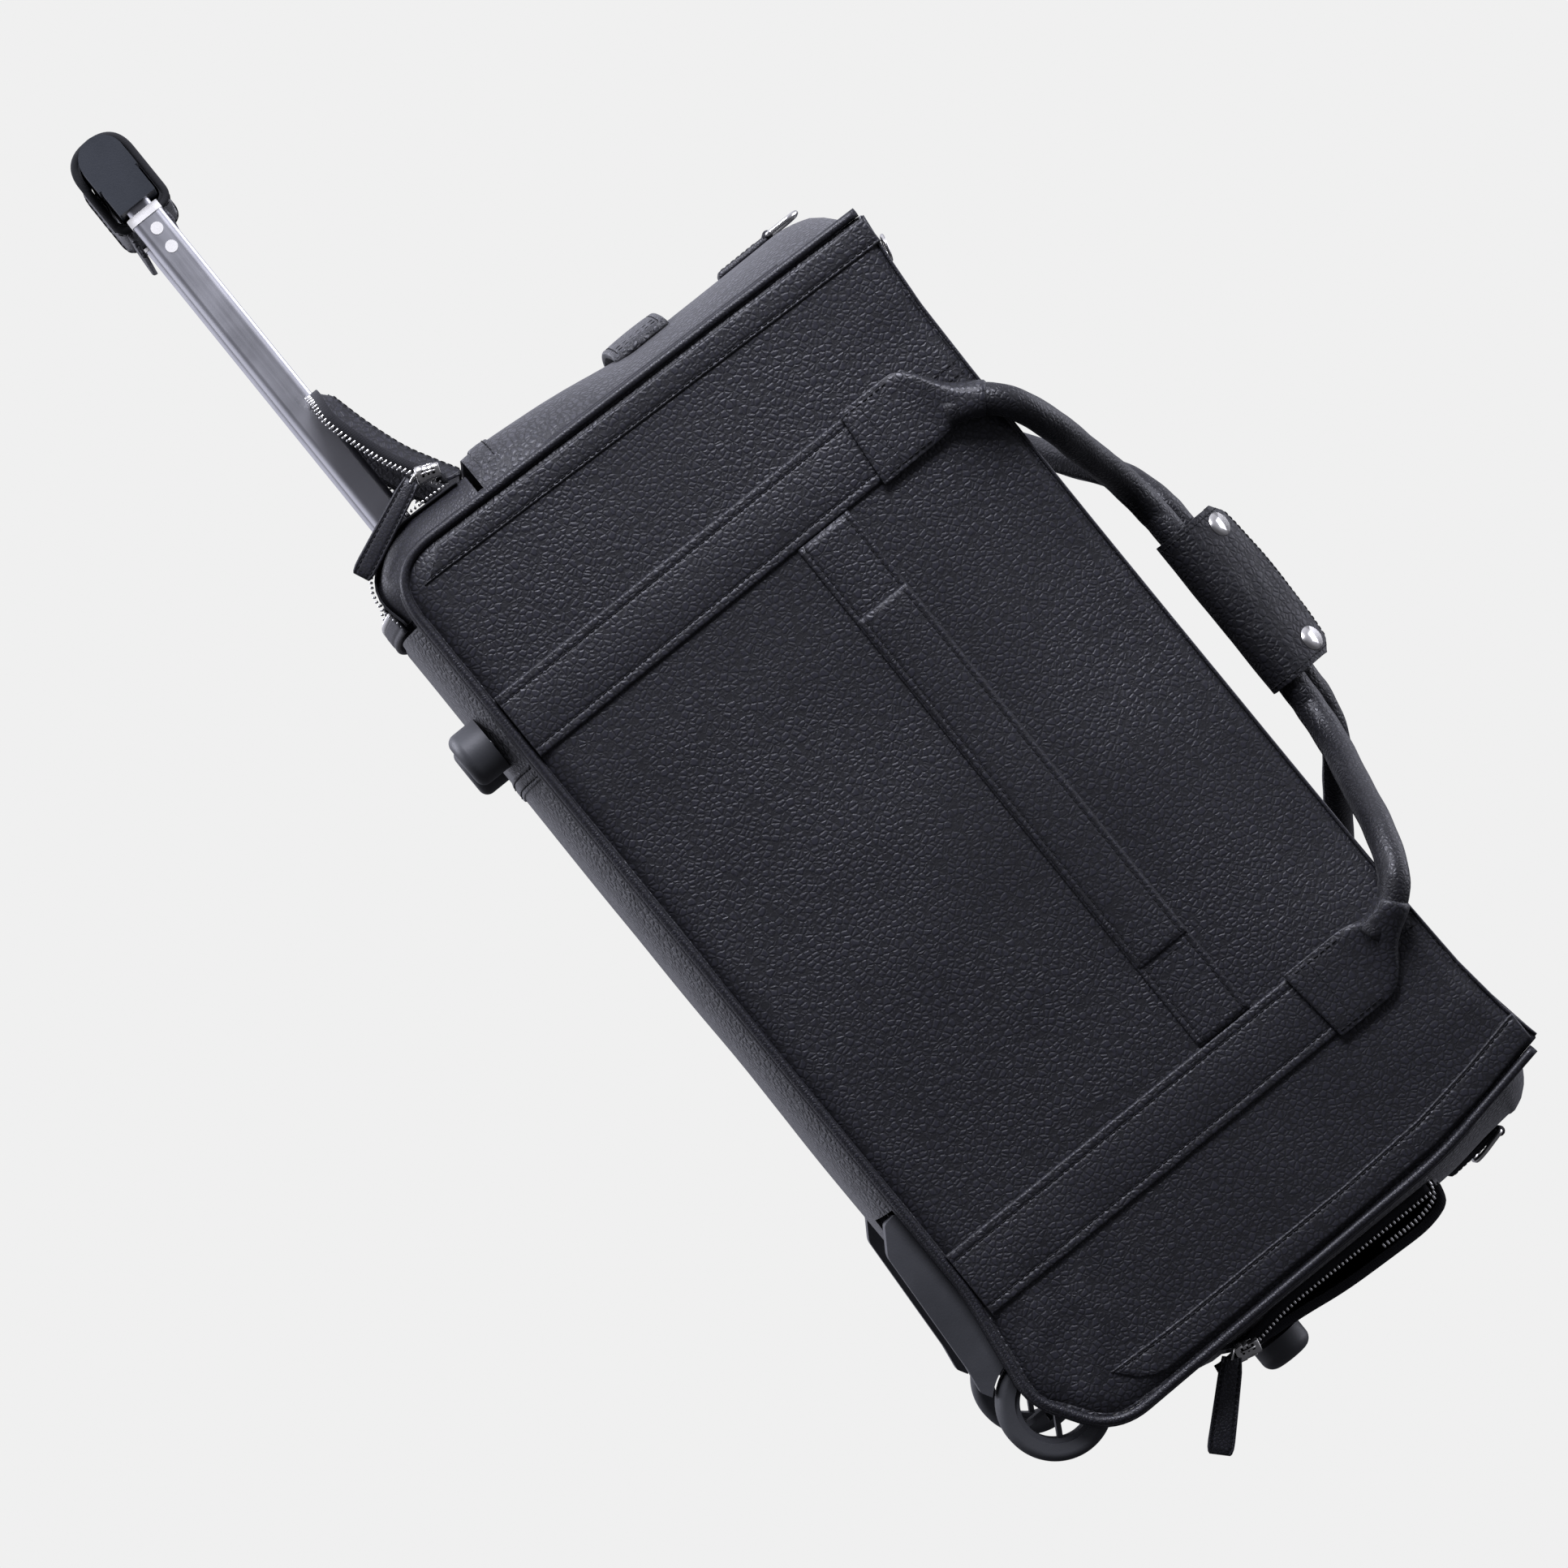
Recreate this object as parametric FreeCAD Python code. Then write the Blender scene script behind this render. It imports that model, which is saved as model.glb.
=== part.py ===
import FreeCAD, Part
import math
import os

# A soft leather holdall on two wheels, with a two-stage trolley handle drawn out to its first stop.
# Millimetres. +X points to the wheel end, -Y to the front, +Z up; the floor is z = 0.
# X values are measured from the middle of the bag and moved by BAG_MIDDLE_X when saved.

V = FreeCAD.Vector

# Whole bag
BAG_MIDDLE_X = 99.0
HALF_DEPTH = 120.0
LEATHER = 2.0
PANEL_INNER = HALF_DEPTH - LEATHER
BASE_Z = 30.0
BELLY_Z = 15.0
TOP_Z = 306.0
CROWN_Z = 313.0
GAP = 0.3

# Front and back outline: x, z and corner radius
OUTLINE = [
    (-258.0, BASE_Z, 25.0),
    (180.0, 31.0, 120.0),
    (238.0, 22.5, 28.0),
    (272.0, 44.0, 30.0),
    (268.5, 245.0, 200.0),
    (256.0, 316.5, 2.0),
    (205.0, 308.0, 80.0),
    (-200.0, TOP_Z, 80.0),
    (-250.5, 312.5, 2.0),
]
PIPING_RADIUS = 2.2

# Trolley compartment and its flap
HINGE_X = -279.0
HINGE_Z = 87.0
OPENING_HALF = 106.0
LIP_X = -234.0
WELL_BACK_X = -212.0
WELL_FLOOR_Z = 27.0
WELL_TOP_Z = 86.0
WELL_WALL = 1.6

# Trolley tubes
TUBE_Y = 56.5
TUBE_Z = 48.0
OUTER_TUBE = 20.6
OUTER_BORE = 18.2
MIDDLE_TUBE = 17.0
MIDDLE_BORE = 14.2
INNER_TUBE = 13.0
INNER_BORE = 11.0
TUBE_CORNER = 3.5
STAGE_TRAVEL = 232.0
MIDDLE_MOUTH_X = -468.0
COLLAR_LENGTH = 4.5
BOARD_Z = 62.5
GRIP_TIP_X = -514.5
GRIP_SPLIT_X = -491.0
GRIP_BACK_X = -476.0
GRIP_HEIGHT = 23.5
GRIP_HALF_WIDTH = 69.5
SLEEVE_HALF_WIDTH = 44.0
BUTTON_TRAVEL = 4.0

# The wheel end's lower and upper arcs: x at the sides, x in the middle, z
WHEEL_END_ARCS = [(270.0, 286.0, 84.5), (258.0, 288.0, 306.0)]

# Carry handles
HANDLE_RADIUS = 7.5
HANDLE_MIDDLE_X = 8.5
HANDLE_HINGE_Y = 130.0
HANDLE_HINGE_Z = 285.0
FRONT_HANDLE_Z = 343.0
BACK_HANDLE_Z = 351.0
WRAP_HALF_LENGTH = 46.0
WRAP_TOP_Z = 372.0
WRAP_THICKNESS = 2.0
SNAP_X = 36.0
SNAP_RADIUS = 6.3

# Straps, bands and chapes
STRAP_WIDTH = 36.0
STRAP_XS = (-163.0, 177.0)
BAND_Z = (187.0, 218.0)
CHAPE_Z = (241.0, 272.0)
CHAPE_WIDTH = 40.0

# Wheels, feet and studs
WHEEL_X = 247.0
WHEEL_Y = 100.0
WHEEL_RADIUS = 28.0
WHEEL_WIDTH = 22.0
RIM_RADIUS = 19.5
AXLE_RADIUS = 3.0
HOUSING_Y = (88.0, 112.0)
FOOT_X = -166.0
FOOT_Y = 92.0
FOOT_RADIUS = 14.5
STUD_Y = 70.0
STUD_Z = 131.0
SCREW_RADIUS = 2.0

# Zips
SLIDER_XS = (-230.0, 240.0)
MAIN_ZIP_Z = CROWN_Z + 1.0
RING_RADIUS = 6.5
POCKET_HALF = 88.0


def box(x, y, z):
    """A box from its (low, high) pairs."""
    return Part.makeBox(x[1] - x[0], y[1] - y[0], z[1] - z[0], V(x[0], y[0], z[0]))


def rod(start, direction, radius, length):
    return Part.makeCylinder(radius, length, start, direction)


def mirrored(shape):
    """The same shape on the other side of the bag's middle plane."""
    return shape.mirror(V(0, 0, 0), V(0, 1, 0))


def both_sides(shape):
    return Part.makeCompound([shape, mirrored(shape)])


def rounded_edges(points, closed=True):
    """Lines joined by tangent arcs through points given as (vector, radius)."""
    count = len(points)
    corners = range(count) if closed else range(1, count - 1)
    cuts = {}
    for i in corners:
        here, radius = points[i]
        to_last = (points[i - 1][0] - here).normalize()
        to_next = (points[(i + 1) % count][0] - here).normalize()
        half = to_last.getAngle(to_next) / 2
        back = radius / math.tan(half)
        middle = (to_last + to_next).normalize()
        crown = here + middle * (radius / math.sin(half) - radius)
        cuts[i] = (here + to_last * back, crown, here + to_next * back)
    edges = []
    for i in range(count if closed else count - 1):
        j = (i + 1) % count
        start = cuts[i][2] if i in cuts else points[i][0]
        end = cuts[j][0] if j in cuts else points[j][0]
        if (end - start).Length > 1e-6:
            edges.append(Part.LineSegment(start, end).toShape())
        if j in cuts:
            edges.append(Part.Arc(*cuts[j]).toShape())
    return edges


def side_face(points):
    """A face in the XZ plane from (x, z, radius) corners."""
    wire = Part.Wire(rounded_edges([(V(x, 0, z), r) for x, z, r in points]))
    return Part.Face(wire)


def side_prism(face, y_low, y_high):
    moved = face.copy()
    moved.translate(V(0, y_low, 0))
    return moved.extrude(V(0, y_high - y_low, 0))


def arc_sheet(first, middle, last, thickness, travel):
    """A bent sheet: the arc through three points, thickened towards its centre and swept."""
    circle = Part.Arc(first, middle, last).toShape().Curve
    edges = []
    shift = (circle.Radius - thickness) / circle.Radius
    inner = [circle.Center + (p - circle.Center) * shift for p in (first, middle, last)]
    edges.append(Part.Arc(first, middle, last).toShape())
    edges.append(Part.LineSegment(last, inner[2]).toShape())
    edges.append(Part.Arc(inner[2], inner[1], inner[0]).toShape())
    edges.append(Part.LineSegment(inner[0], first).toShape())
    return Part.Face(Part.Wire(edges)).extrude(travel)


def sweep_round(points, radius):
    """A round bar along lines and arcs; points are (vector, bend radius)."""
    edges = rounded_edges(points, closed=False)
    along = (points[1][0] - points[0][0]).normalize()
    circle = Part.Wire(Part.makeCircle(radius, points[0][0], along))
    return Part.Wire(edges).makePipeShell([circle], True, False)


def outline_face(inset=0.0):
    wire = side_face(OUTLINE).OuterWire
    if inset:
        wire = wire.makeOffset2D(-inset)
    return Part.Face(wire)


def outline_ring(outer, inner, y_low, y_high):
    ring = outline_face(outer).cut(outline_face(inner))
    return side_prism(ring, y_low, y_high)


# ---------------------------------------------------------------- shell

def front_panel():
    return side_prism(outline_face(), -HALF_DEPTH, -PANEL_INNER)


def wheel_wells():
    """The round clearances that the wheels need in the bag's corner, front and back."""
    width = HOUSING_Y[1] - HOUSING_Y[0] + 4.5
    well = rod(V(WHEEL_X, HOUSING_Y[0] - 3.5, WHEEL_RADIUS), V(0, 1, 0), 34.5, width)
    return both_sides(well)


def base_panel():
    """The bulging base, with the ring-shaped corner under the wheel end."""
    travel = V(222.0 - LIP_X, 0, 0)
    edge_y = 98.0
    edge_z = 19.0
    floor = arc_sheet(V(LIP_X, -edge_y, edge_z), V(LIP_X, 0, BELLY_Z), V(LIP_X, edge_y, edge_z), LEATHER, travel)
    seam_y = PANEL_INNER - 2.8
    seam_z = BASE_Z + 1.2
    corners = [
        V(LIP_X, PANEL_INNER, seam_z),
        V(LIP_X, seam_y, seam_z),
        V(LIP_X, edge_y, edge_z),
        V(LIP_X, edge_y, edge_z + LEATHER),
        V(LIP_X, seam_y, seam_z + LEATHER),
        V(LIP_X, PANEL_INNER, seam_z + LEATHER),
    ]
    slope = Part.Face(Part.makePolygon(corners + corners[:1])).extrude(travel)
    corner = outline_ring(1.0, 3.0, -PANEL_INNER, PANEL_INNER)
    corner = corner.common(box((222.0, 290.0), (-PANEL_INNER, PANEL_INNER), (0.0, 84.0)))
    skids = both_sides(box((125.0, 290.0), (HOUSING_Y[0] - 3.5, HOUSING_Y[1] + 0.5), (0.0, 40.0)))
    holes = both_sides(rod(V(FOOT_X, FOOT_Y, 0), V(0, 0, 1), SCREW_RADIUS, 40.0))
    pieces = [floor.cut(skids).cut(holes), both_sides(slope).cut(skids), corner.cut(wheel_wells()).cut(skids)]
    return Part.makeCompound([s for p in pieces for s in p.Solids])


def handle_end_panel():
    """The end over the trolley compartment, bulging outwards between the two big panels."""
    low_x = -256.0
    travel = V(8.0, 0, 304.0 - HINGE_Z)
    return arc_sheet(
        V(low_x, -PANEL_INNER, HINGE_Z), V(-281.0, 0, HINGE_Z), V(low_x, PANEL_INNER, HINGE_Z), LEATHER, travel
    )


def wheel_end_loft(behind):
    """Between the lower and upper arcs: the leather itself, or all the space behind its outer face."""
    wires = []
    for side_x, middle_x, z in WHEEL_END_ARCS:
        arc = [V(side_x, -PANEL_INNER, z), V(middle_x, 0, z), V(side_x, PANEL_INNER, z)]
        back = [p - V(LEATHER, 0, 0) for p in reversed(arc)]
        edges = [Part.Arc(*arc).toShape()]
        if behind:
            edges.append(Part.LineSegment(arc[2], arc[0]).toShape())
        else:
            edges.append(Part.LineSegment(arc[2], back[0]).toShape())
            edges.append(Part.Arc(*back).toShape())
            edges.append(Part.LineSegment(back[2], arc[0]).toShape())
        wires.append(Part.Wire(edges))
    return Part.makeLoft(wires, True, True)


def wheel_end_panel():
    return wheel_end_loft(False)


def top_panels():
    """Two arched strips from the big panels up to the main zip."""
    start_x = -246.0
    strip = arc_sheet(
        V(start_x, -PANEL_INNER, TOP_Z - 3), V(start_x, -66.0, 311.5), V(start_x, -14.0, CROWN_Z),
        LEATHER, V(496.0, 0, 0)
    )
    return both_sides(strip)


def compartment_strips():
    """The narrow leather edges beside the trolley compartment's opening, round the lower corner."""
    strip = outline_ring(0.5, 2.5, -PANEL_INNER, -OPENING_HALF)
    keep = box((-262.0, LIP_X), (-PANEL_INNER, -OPENING_HALF), (20.0, HINGE_Z - 0.5))
    return both_sides(strip.common(keep))


def piping():
    """A corded edge round both big panels, from one top corner down and round to the other."""
    reach = PIPING_RADIUS + 0.3
    grown = [
        (V(-250.8 - reach, 0, 309.0), 0.0),
        (V(-258.0 - reach, 0, BASE_Z - reach), 25.0 + reach),
        (V(180.0, 0, 31.0 - reach), 120.0),
        (V(238.0, 0, 22.5 - reach), 28.0 + reach),
        (V(272.0 + reach, 0, 44.0 - reach / 2), 30.0 + reach),
        (V(268.5 + reach, 0, 245.0), 200.0),
        (V(258.0 + reach, 0, 308.0), 0.0),
    ]
    path = [(p + V(0, -PANEL_INNER, 0), r) for p, r in grown]
    return both_sides(sweep_round(path, PIPING_RADIUS))


def end_bands():
    """Thin reinforcing strips laid on both ends of the big panels."""
    left = side_face([(-254.5, 52.0, 1.0), (-243.0, 38.0, 1.0), (-234.5, 305.0, 1.0), (-249.0, 308.0, 1.0)])
    right = side_face([(252.0, 52.0, 1.0), (268.0, 62.0, 1.0), (265.5, 245.0, 150.0), (255.0, 311.0, 1.0),
                       (240.0, 308.0, 1.0), (252.0, 240.0, 150.0)])
    bands = [side_prism(f, -HALF_DEPTH - 1.2, -HALF_DEPTH) for f in (left, right)]
    return both_sides(Part.makeCompound(bands))


def straps():
    """Flat vertical straps under the handles, from the base edge to the top."""
    made = []
    for x in STRAP_XS:
        made.append(box((x - STRAP_WIDTH / 2, x + STRAP_WIDTH / 2), (-HALF_DEPTH - LEATHER, -HALF_DEPTH),
                        (BASE_Z + 1.5, CHAPE_Z[1] + 4)))
    return both_sides(Part.makeCompound(made))


def cross_bands():
    """The band between the straps, with its raised middle pad."""
    left = STRAP_XS[0] + STRAP_WIDTH / 2
    right = STRAP_XS[1] - STRAP_WIDTH / 2
    band = box((left, right), (-HALF_DEPTH - LEATHER, -HALF_DEPTH), BAND_Z)
    pad = box((-101.0, 112.0), (-HALF_DEPTH - LEATHER - 1.6, -HALF_DEPTH - LEATHER), BAND_Z)
    return both_sides(band.fuse(pad).removeSplitter())


def chapes():
    """The leather tabs that hold the handles' ends on the straps."""
    made = []
    for x in STRAP_XS:
        tab = box((x - CHAPE_WIDTH / 2, x + CHAPE_WIDTH / 2), (-HALF_DEPTH - LEATHER - 2.8, -HALF_DEPTH - LEATHER),
                  CHAPE_Z)
        made.append(tab)
    return both_sides(Part.makeCompound(made))


def lining():
    """Thin inner panels on the front, the back and both ends."""
    cut_off = box((-241.0, 249.8), (-PANEL_INNER, PANEL_INNER), (70.0, 298.0))
    front = side_prism(outline_face(4.0), -PANEL_INNER + 0.5, -PANEL_INNER + 1.3).common(cut_off)
    handle_end = box((-242.0, -241.2), (-110.0, 110.0), (90.0, 298.0))
    wheel_end = box((250.0, 250.8), (-110.0, 110.0), (70.0, 298.0))
    return Part.makeCompound([front, mirrored(front), handle_end, wheel_end])


def base_board():
    """The stiff board between the trolley tubes and the luggage."""
    return box((-208.0, 205.0), (-112.0, 112.0), (BOARD_Z, BOARD_Z + 3.0)).cut(board_screws())


def end_tabs():
    """The two leather tabs that hold the D-rings, sewn on the end panels."""
    half = 10.5
    handle_tab = box((-279.2, -275.7), (-half, half), (249.0, 278.5))
    handle_neck = box((-275.7, -275.1), (-half, half), (249.0, 260.0))
    wheel_tab = box((289.0, 292.0), (-half, half), (250.0, 281.0))
    wheel_neck = box((288.1, 289.0), (-half, half), (250.0, 260.0))
    tabs = [handle_tab.fuse(handle_neck), wheel_tab.fuse(wheel_neck)]
    return Part.makeCompound([tab.removeSplitter() for tab in tabs])


def grab_loop():
    """A flat loop of strap across the handle end."""
    return arc_sheet(V(-274.0, -62.0, 180.0), V(-284.5, 0, 180.0), V(-274.0, 62.0, 180.0), 2.6, V(0, 0, 32.0))


# ---------------------------------------------------------------- trolley compartment

def handle_well():
    """The tray that the grip drops into, with square holes for the tubes in its back wall."""
    outer = box((-256.0, WELL_BACK_X + WELL_WALL), (-OPENING_HALF, OPENING_HALF), (WELL_FLOOR_Z, WELL_TOP_Z))
    inner = box((-260.0, WELL_BACK_X), (-OPENING_HALF + WELL_WALL, OPENING_HALF - WELL_WALL),
                (WELL_FLOOR_Z + WELL_WALL, WELL_TOP_Z - WELL_WALL))
    hole = OUTER_TUBE / 2 + 0.2
    holes = box((WELL_BACK_X - 1, WELL_BACK_X + 3), (-TUBE_Y - hole, -TUBE_Y + hole), (TUBE_Z - hole, TUBE_Z + hole))
    tray = outer.cut(inner).cut(both_sides(holes))
    return tray.common(side_prism(outline_face(3.0), -OPENING_HALF, OPENING_HALF).fuse(
        box((-232.0, -200.0), (-OPENING_HALF, OPENING_HALF), (26.0, 60.0))))


def flap_profile(drop, thickness, first_y, last_y):
    """The flap's curved side profile swept across; drop moves it down from the top surface."""
    top = [V(HINGE_X - 1.0, 0, HINGE_Z), V(-312.0, 0, 70.0), V(-350.0, 0, 60.8)]
    shape = arc_sheet(*[p - V(0, 0, drop) for p in top], -thickness, V(0, last_y - first_y, 0))
    shape.translate(V(0, first_y, 0))
    return shape


def flap():
    return flap_profile(0.0, 2.6, -OPENING_HALF + 3, OPENING_HALF - 3)


def flap_zip():
    """The flap's half of the zip: a toothed edge under both sides."""
    sides = flap_profile(3.6, 1.2, -OPENING_HALF + 3, -OPENING_HALF + 9)
    return both_sides(sides)


def well_zip():
    """The other half of the zip, along the opening's edges and its lower lip."""
    edge = outline_ring(0.8, 2.6, -OPENING_HALF + 0.2, -OPENING_HALF + 6)
    edge = edge.common(box((-262.0, LIP_X - 6.0), (-OPENING_HALF, 0), (30.0, HINGE_Z - 1.0)))
    lip = box((LIP_X - 5.0, LIP_X - 0.2), (-90.0, 90.0), (17.5, 19.5))
    return Part.makeCompound([s for p in (edge, mirrored(edge), lip) for s in p.Solids])


def slider_body(x, y, z, length, width, height):
    """A zip slider: a waisted body with a bridge over it."""
    body = box((x - length / 2, x + length / 2), (y - width / 2, y + width / 2), (z, z + height))
    bridge = box((x - length / 4, x + length / 4), (y - 1.2, y + 1.2), (z + height, z + height + 2.0))
    return body.fuse(bridge).removeSplitter()


def flap_slider():
    return box((-288.0, -280.0), (-110.5, -104.0), (70.0, 78.0)).fuse(
        box((-287.0, -285.0), (-112.5, -110.5), (71.0, 77.0))).removeSplitter()


def hanging_tab(top, direction, length, width, thickness, y):
    """A leather pull tab whose flat side faces the front, hanging along direction in the XZ plane."""
    side = V(direction.z, 0, -direction.x)
    ends = [top - side * (width / 3), top + side * (width / 3)]
    far = top + direction * length
    corners = [ends[0], ends[1], far + side * (width / 2), far - side * (width / 2)]
    face = Part.Face(Part.makePolygon(corners + corners[:1]))
    face.translate(V(0, y - thickness / 2, 0))
    return face.extrude(V(0, thickness, 0))


def flap_pull():
    direction = V(0.40, 0, -0.917).normalize()
    return hanging_tab(V(-286.0, 0, 68.0), direction, 52.0, 9.0, 2.4, -108.5)


# ---------------------------------------------------------------- trolley handle

def square_bar(size, x_low, x_high, corner):
    """A bar of rounded square section along X, centred on the front tube's axis."""
    bar = box((x_low, x_high), (-TUBE_Y - size / 2, -TUBE_Y + size / 2), (TUBE_Z - size / 2, TUBE_Z + size / 2))
    long_edges = [e for e in bar.Edges if abs(e.tangentAt(e.FirstParameter).x) > 0.9]
    return bar.makeFillet(corner, long_edges)


def square_tubes(size, bore, x_low, x_high):
    wall = (size - bore) / 2
    tube = square_bar(size, x_low, x_high, TUBE_CORNER).cut(
        square_bar(bore, x_low - 1, x_high + 1, TUBE_CORNER - wall))
    return both_sides(tube)


def outer_tubes():
    return square_tubes(OUTER_TUBE, OUTER_BORE, WELL_BACK_X - 2.0, 110.0)


def middle_tubes():
    return square_tubes(MIDDLE_TUBE, MIDDLE_BORE, MIDDLE_MOUTH_X, MIDDLE_MOUTH_X + STAGE_TRAVEL + 70.0)


def inner_tubes():
    return square_tubes(INNER_TUBE, INNER_BORE, GRIP_BACK_X - 6.0, GRIP_BACK_X + STAGE_TRAVEL + 50.0)


def collars():
    """The pale bushes on the middle tubes' mouths."""
    head = square_bar(MIDDLE_TUBE + 1.0, MIDDLE_MOUTH_X - COLLAR_LENGTH, MIDDLE_MOUTH_X, TUBE_CORNER)
    hole = square_bar(INNER_TUBE + 0.6, MIDDLE_MOUTH_X - COLLAR_LENGTH - 1, MIDDLE_MOUTH_X + 1, 2.5)
    return both_sides(head.cut(hole))


def collar_rivets():
    """Two flush rivets on the outer side of each middle tube, through its wall."""
    made = []
    for x in (MIDDLE_MOUTH_X + 7.0, MIDDLE_MOUTH_X + 18.2):
        made.append(rod(V(x, -TUBE_Y - MIDDLE_TUBE / 2 - 0.3, TUBE_Z + 0.5), V(0, 1, 0), 3.1, 0.3))
    return both_sides(Part.makeCompound(made))


def grip_section(x_low, x_high, height, nose):
    """The grip's side outline between two x values, rounded at the low end by nose."""
    low = TUBE_Z + 1.0 - height / 2
    high = TUBE_Z + 1.0 + height / 2
    return side_face([(x_low, low, nose), (x_high, low, 0.8), (x_high, high, 0.8), (x_low, high, nose)])


def grip_cap():
    """The rounded outer half of the grip, with a pocket for the release button."""
    cap = side_prism(grip_section(GRIP_TIP_X, GRIP_SPLIT_X, GRIP_HEIGHT, GRIP_HEIGHT / 2 - 0.1),
                     -GRIP_HALF_WIDTH, GRIP_HALF_WIDTH)
    pocket = box((GRIP_TIP_X - 2, GRIP_SPLIT_X + 1), (-14.0, 14.0), (TUBE_Z - 4.5, TUBE_Z + 6.5))
    trough = box((GRIP_TIP_X + 10.9, GRIP_SPLIT_X + 1), (-62.0, 62.0), (TUBE_Z - 3.5, TUBE_Z + 5.5))
    return cap.cut(pocket).cut(trough)


def grip_yoke():
    """The inner half of the grip, which the inner tubes plug into."""
    yoke = side_prism(grip_section(GRIP_SPLIT_X, GRIP_BACK_X, GRIP_HEIGHT - 2.0, 0.9),
                      -GRIP_HALF_WIDTH, GRIP_HALF_WIDTH)
    socket = square_bar(INNER_TUBE + 0.1, GRIP_BACK_X - 6.0, GRIP_BACK_X + 1, 2.5)
    passage = rod(V(GRIP_SPLIT_X - 1, -TUBE_Y, TUBE_Z), V(1, 0, 0), 3.0, 20.0)
    return yoke.cut(both_sides(socket)).cut(both_sides(passage))


def grip_sleeve():
    """The leather wrapped round the grip's middle, with a window over the button and two sewn tails."""
    low = TUBE_Z + 0.5 - 15.8
    high = TUBE_Z + 0.5 + 15.8
    tip = GRIP_TIP_X - 2.5
    back = GRIP_BACK_X + 6.0
    outer = side_face([(tip, low, 15.0), (back, low, 6.0), (back, high, 6.0), (tip, high, 15.0)])
    inner = side_face([(tip + 2.2, low + 2.4, 12.6), (back - 2.4, low + 2.4, 3.6),
                       (back - 2.4, high - 2.4, 3.6), (tip + 2.2, high - 2.4, 12.6)])
    ring = side_prism(outer.cut(inner), -SLEEVE_HALF_WIDTH, SLEEVE_HALF_WIDTH)
    window = box((tip - 3.0, tip + 9.0), (-16.0, 16.0), (TUBE_Z - 6.5, TUBE_Z + 8.5))
    tail = box((back - 0.5, back + 14.0), (-SLEEVE_HALF_WIDTH, SLEEVE_HALF_WIDTH), (low + 3.0, low + 5.4))
    upper_tail = box((back - 0.5, back + 7.0), (-SLEEVE_HALF_WIDTH, SLEEVE_HALF_WIDTH), (high - 8.4, high - 6.0))
    return ring.cut(window).fuse([tail, upper_tail]).removeSplitter()


def grip_button():
    """The release button in the grip's outer face."""
    front = GRIP_TIP_X - 1.0
    face = box((front, front + 12.5), (-13.4, 13.4), (TUBE_Z - 4.0, TUBE_Z + 6.0))
    outer_edges = [e for e in face.Edges if e.BoundBox.XMax < front + 0.5]
    return face.makeFillet(1.2, outer_edges)


def release_rods():
    """The cross bar behind the button and the rods that it pushes down the inner tubes."""
    bar = box((GRIP_TIP_X + 11.6, GRIP_TIP_X + 16.5), (-60.0, 60.0), (TUBE_Z - 3.0, TUBE_Z + 3.0))
    rods = both_sides(rod(V(GRIP_TIP_X + 16.0, -TUBE_Y, TUBE_Z), V(1, 0, 0), 2.0, 240.0))
    return bar.fuse(rods.Solids).removeSplitter()


def tube_bracket():
    """The block that ties the outer tubes' inner ends to the base board."""
    block = box((98.0, 116.0), (-74.0, 74.0), (36.0, BOARD_Z))
    socket = square_bar(OUTER_TUBE, 90.0, 110.0, TUBE_CORNER)
    return block.cut(both_sides(socket)).cut(board_screws())


def board_screws():
    """Countersunk screws down through the base board into the bracket."""
    shank = rod(V(107.0, 30.0, BOARD_Z - 12.0), V(0, 0, 1), SCREW_RADIUS, 14.0)
    head = Part.makeCone(SCREW_RADIUS, 4.0, 1.0, V(107.0, 30.0, BOARD_Z + 2.0), V(0, 0, 1))
    return both_sides(shank.fuse(head).removeSplitter())


def screws():
    """The board's screws, and those that hold the feet to the base."""
    feet = both_sides(rod(V(FOOT_X, FOOT_Y, 8.0), V(0, 0, 1), SCREW_RADIUS, 16.0))
    return Part.makeCompound(board_screws().Solids + feet.Solids)


# ---------------------------------------------------------------- carry handles

def handle_points(top_z):
    """One end of the front handle's line, from the hinge to its middle: x from the middle, y, z, bend."""
    lift = (top_z - HANDLE_HINGE_Z) / (FRONT_HANDLE_Z - HANDLE_HINGE_Z)
    half = [
        (-160.0, -HANDLE_HINGE_Y, 285.0, 0.0),
        (-153.0, -HANDLE_HINGE_Y, 300.0, 20.0),
        (-143.0, -129.5, 311.5, 14.0),
        (-124.0, -105.0, 323.5, 26.0),
        (-104.0, -64.0, 333.5, 60.0),
        (-84.0, -24.0, 341.5, 40.0),
        (-64.0, -10.5, FRONT_HANDLE_Z, 30.0),
    ]
    return [(x, y, HANDLE_HINGE_Z + (z - HANDLE_HINGE_Z) * lift, r) for x, y, z, r in half]


def carry_handle(top_z):
    half = handle_points(top_z)
    left = [(V(HANDLE_MIDDLE_X + x, y, z), r) for x, y, z, r in half]
    right = [(V(HANDLE_MIDDLE_X - x, y, z), r) for x, y, z, r in reversed(half)]
    return sweep_round(left + right, HANDLE_RADIUS)


def wrap_shoulder(tube_z):
    """The flat of the front wrap that carries the snaps: its lower and upper corner."""
    lower = V(0, -15.0 + (tube_z - FRONT_HANDLE_Z) * 0.15, 357.0 + (tube_z - FRONT_HANDLE_Z) * 0.5)
    return lower, V(0, -4.6, 368.6)


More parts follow.
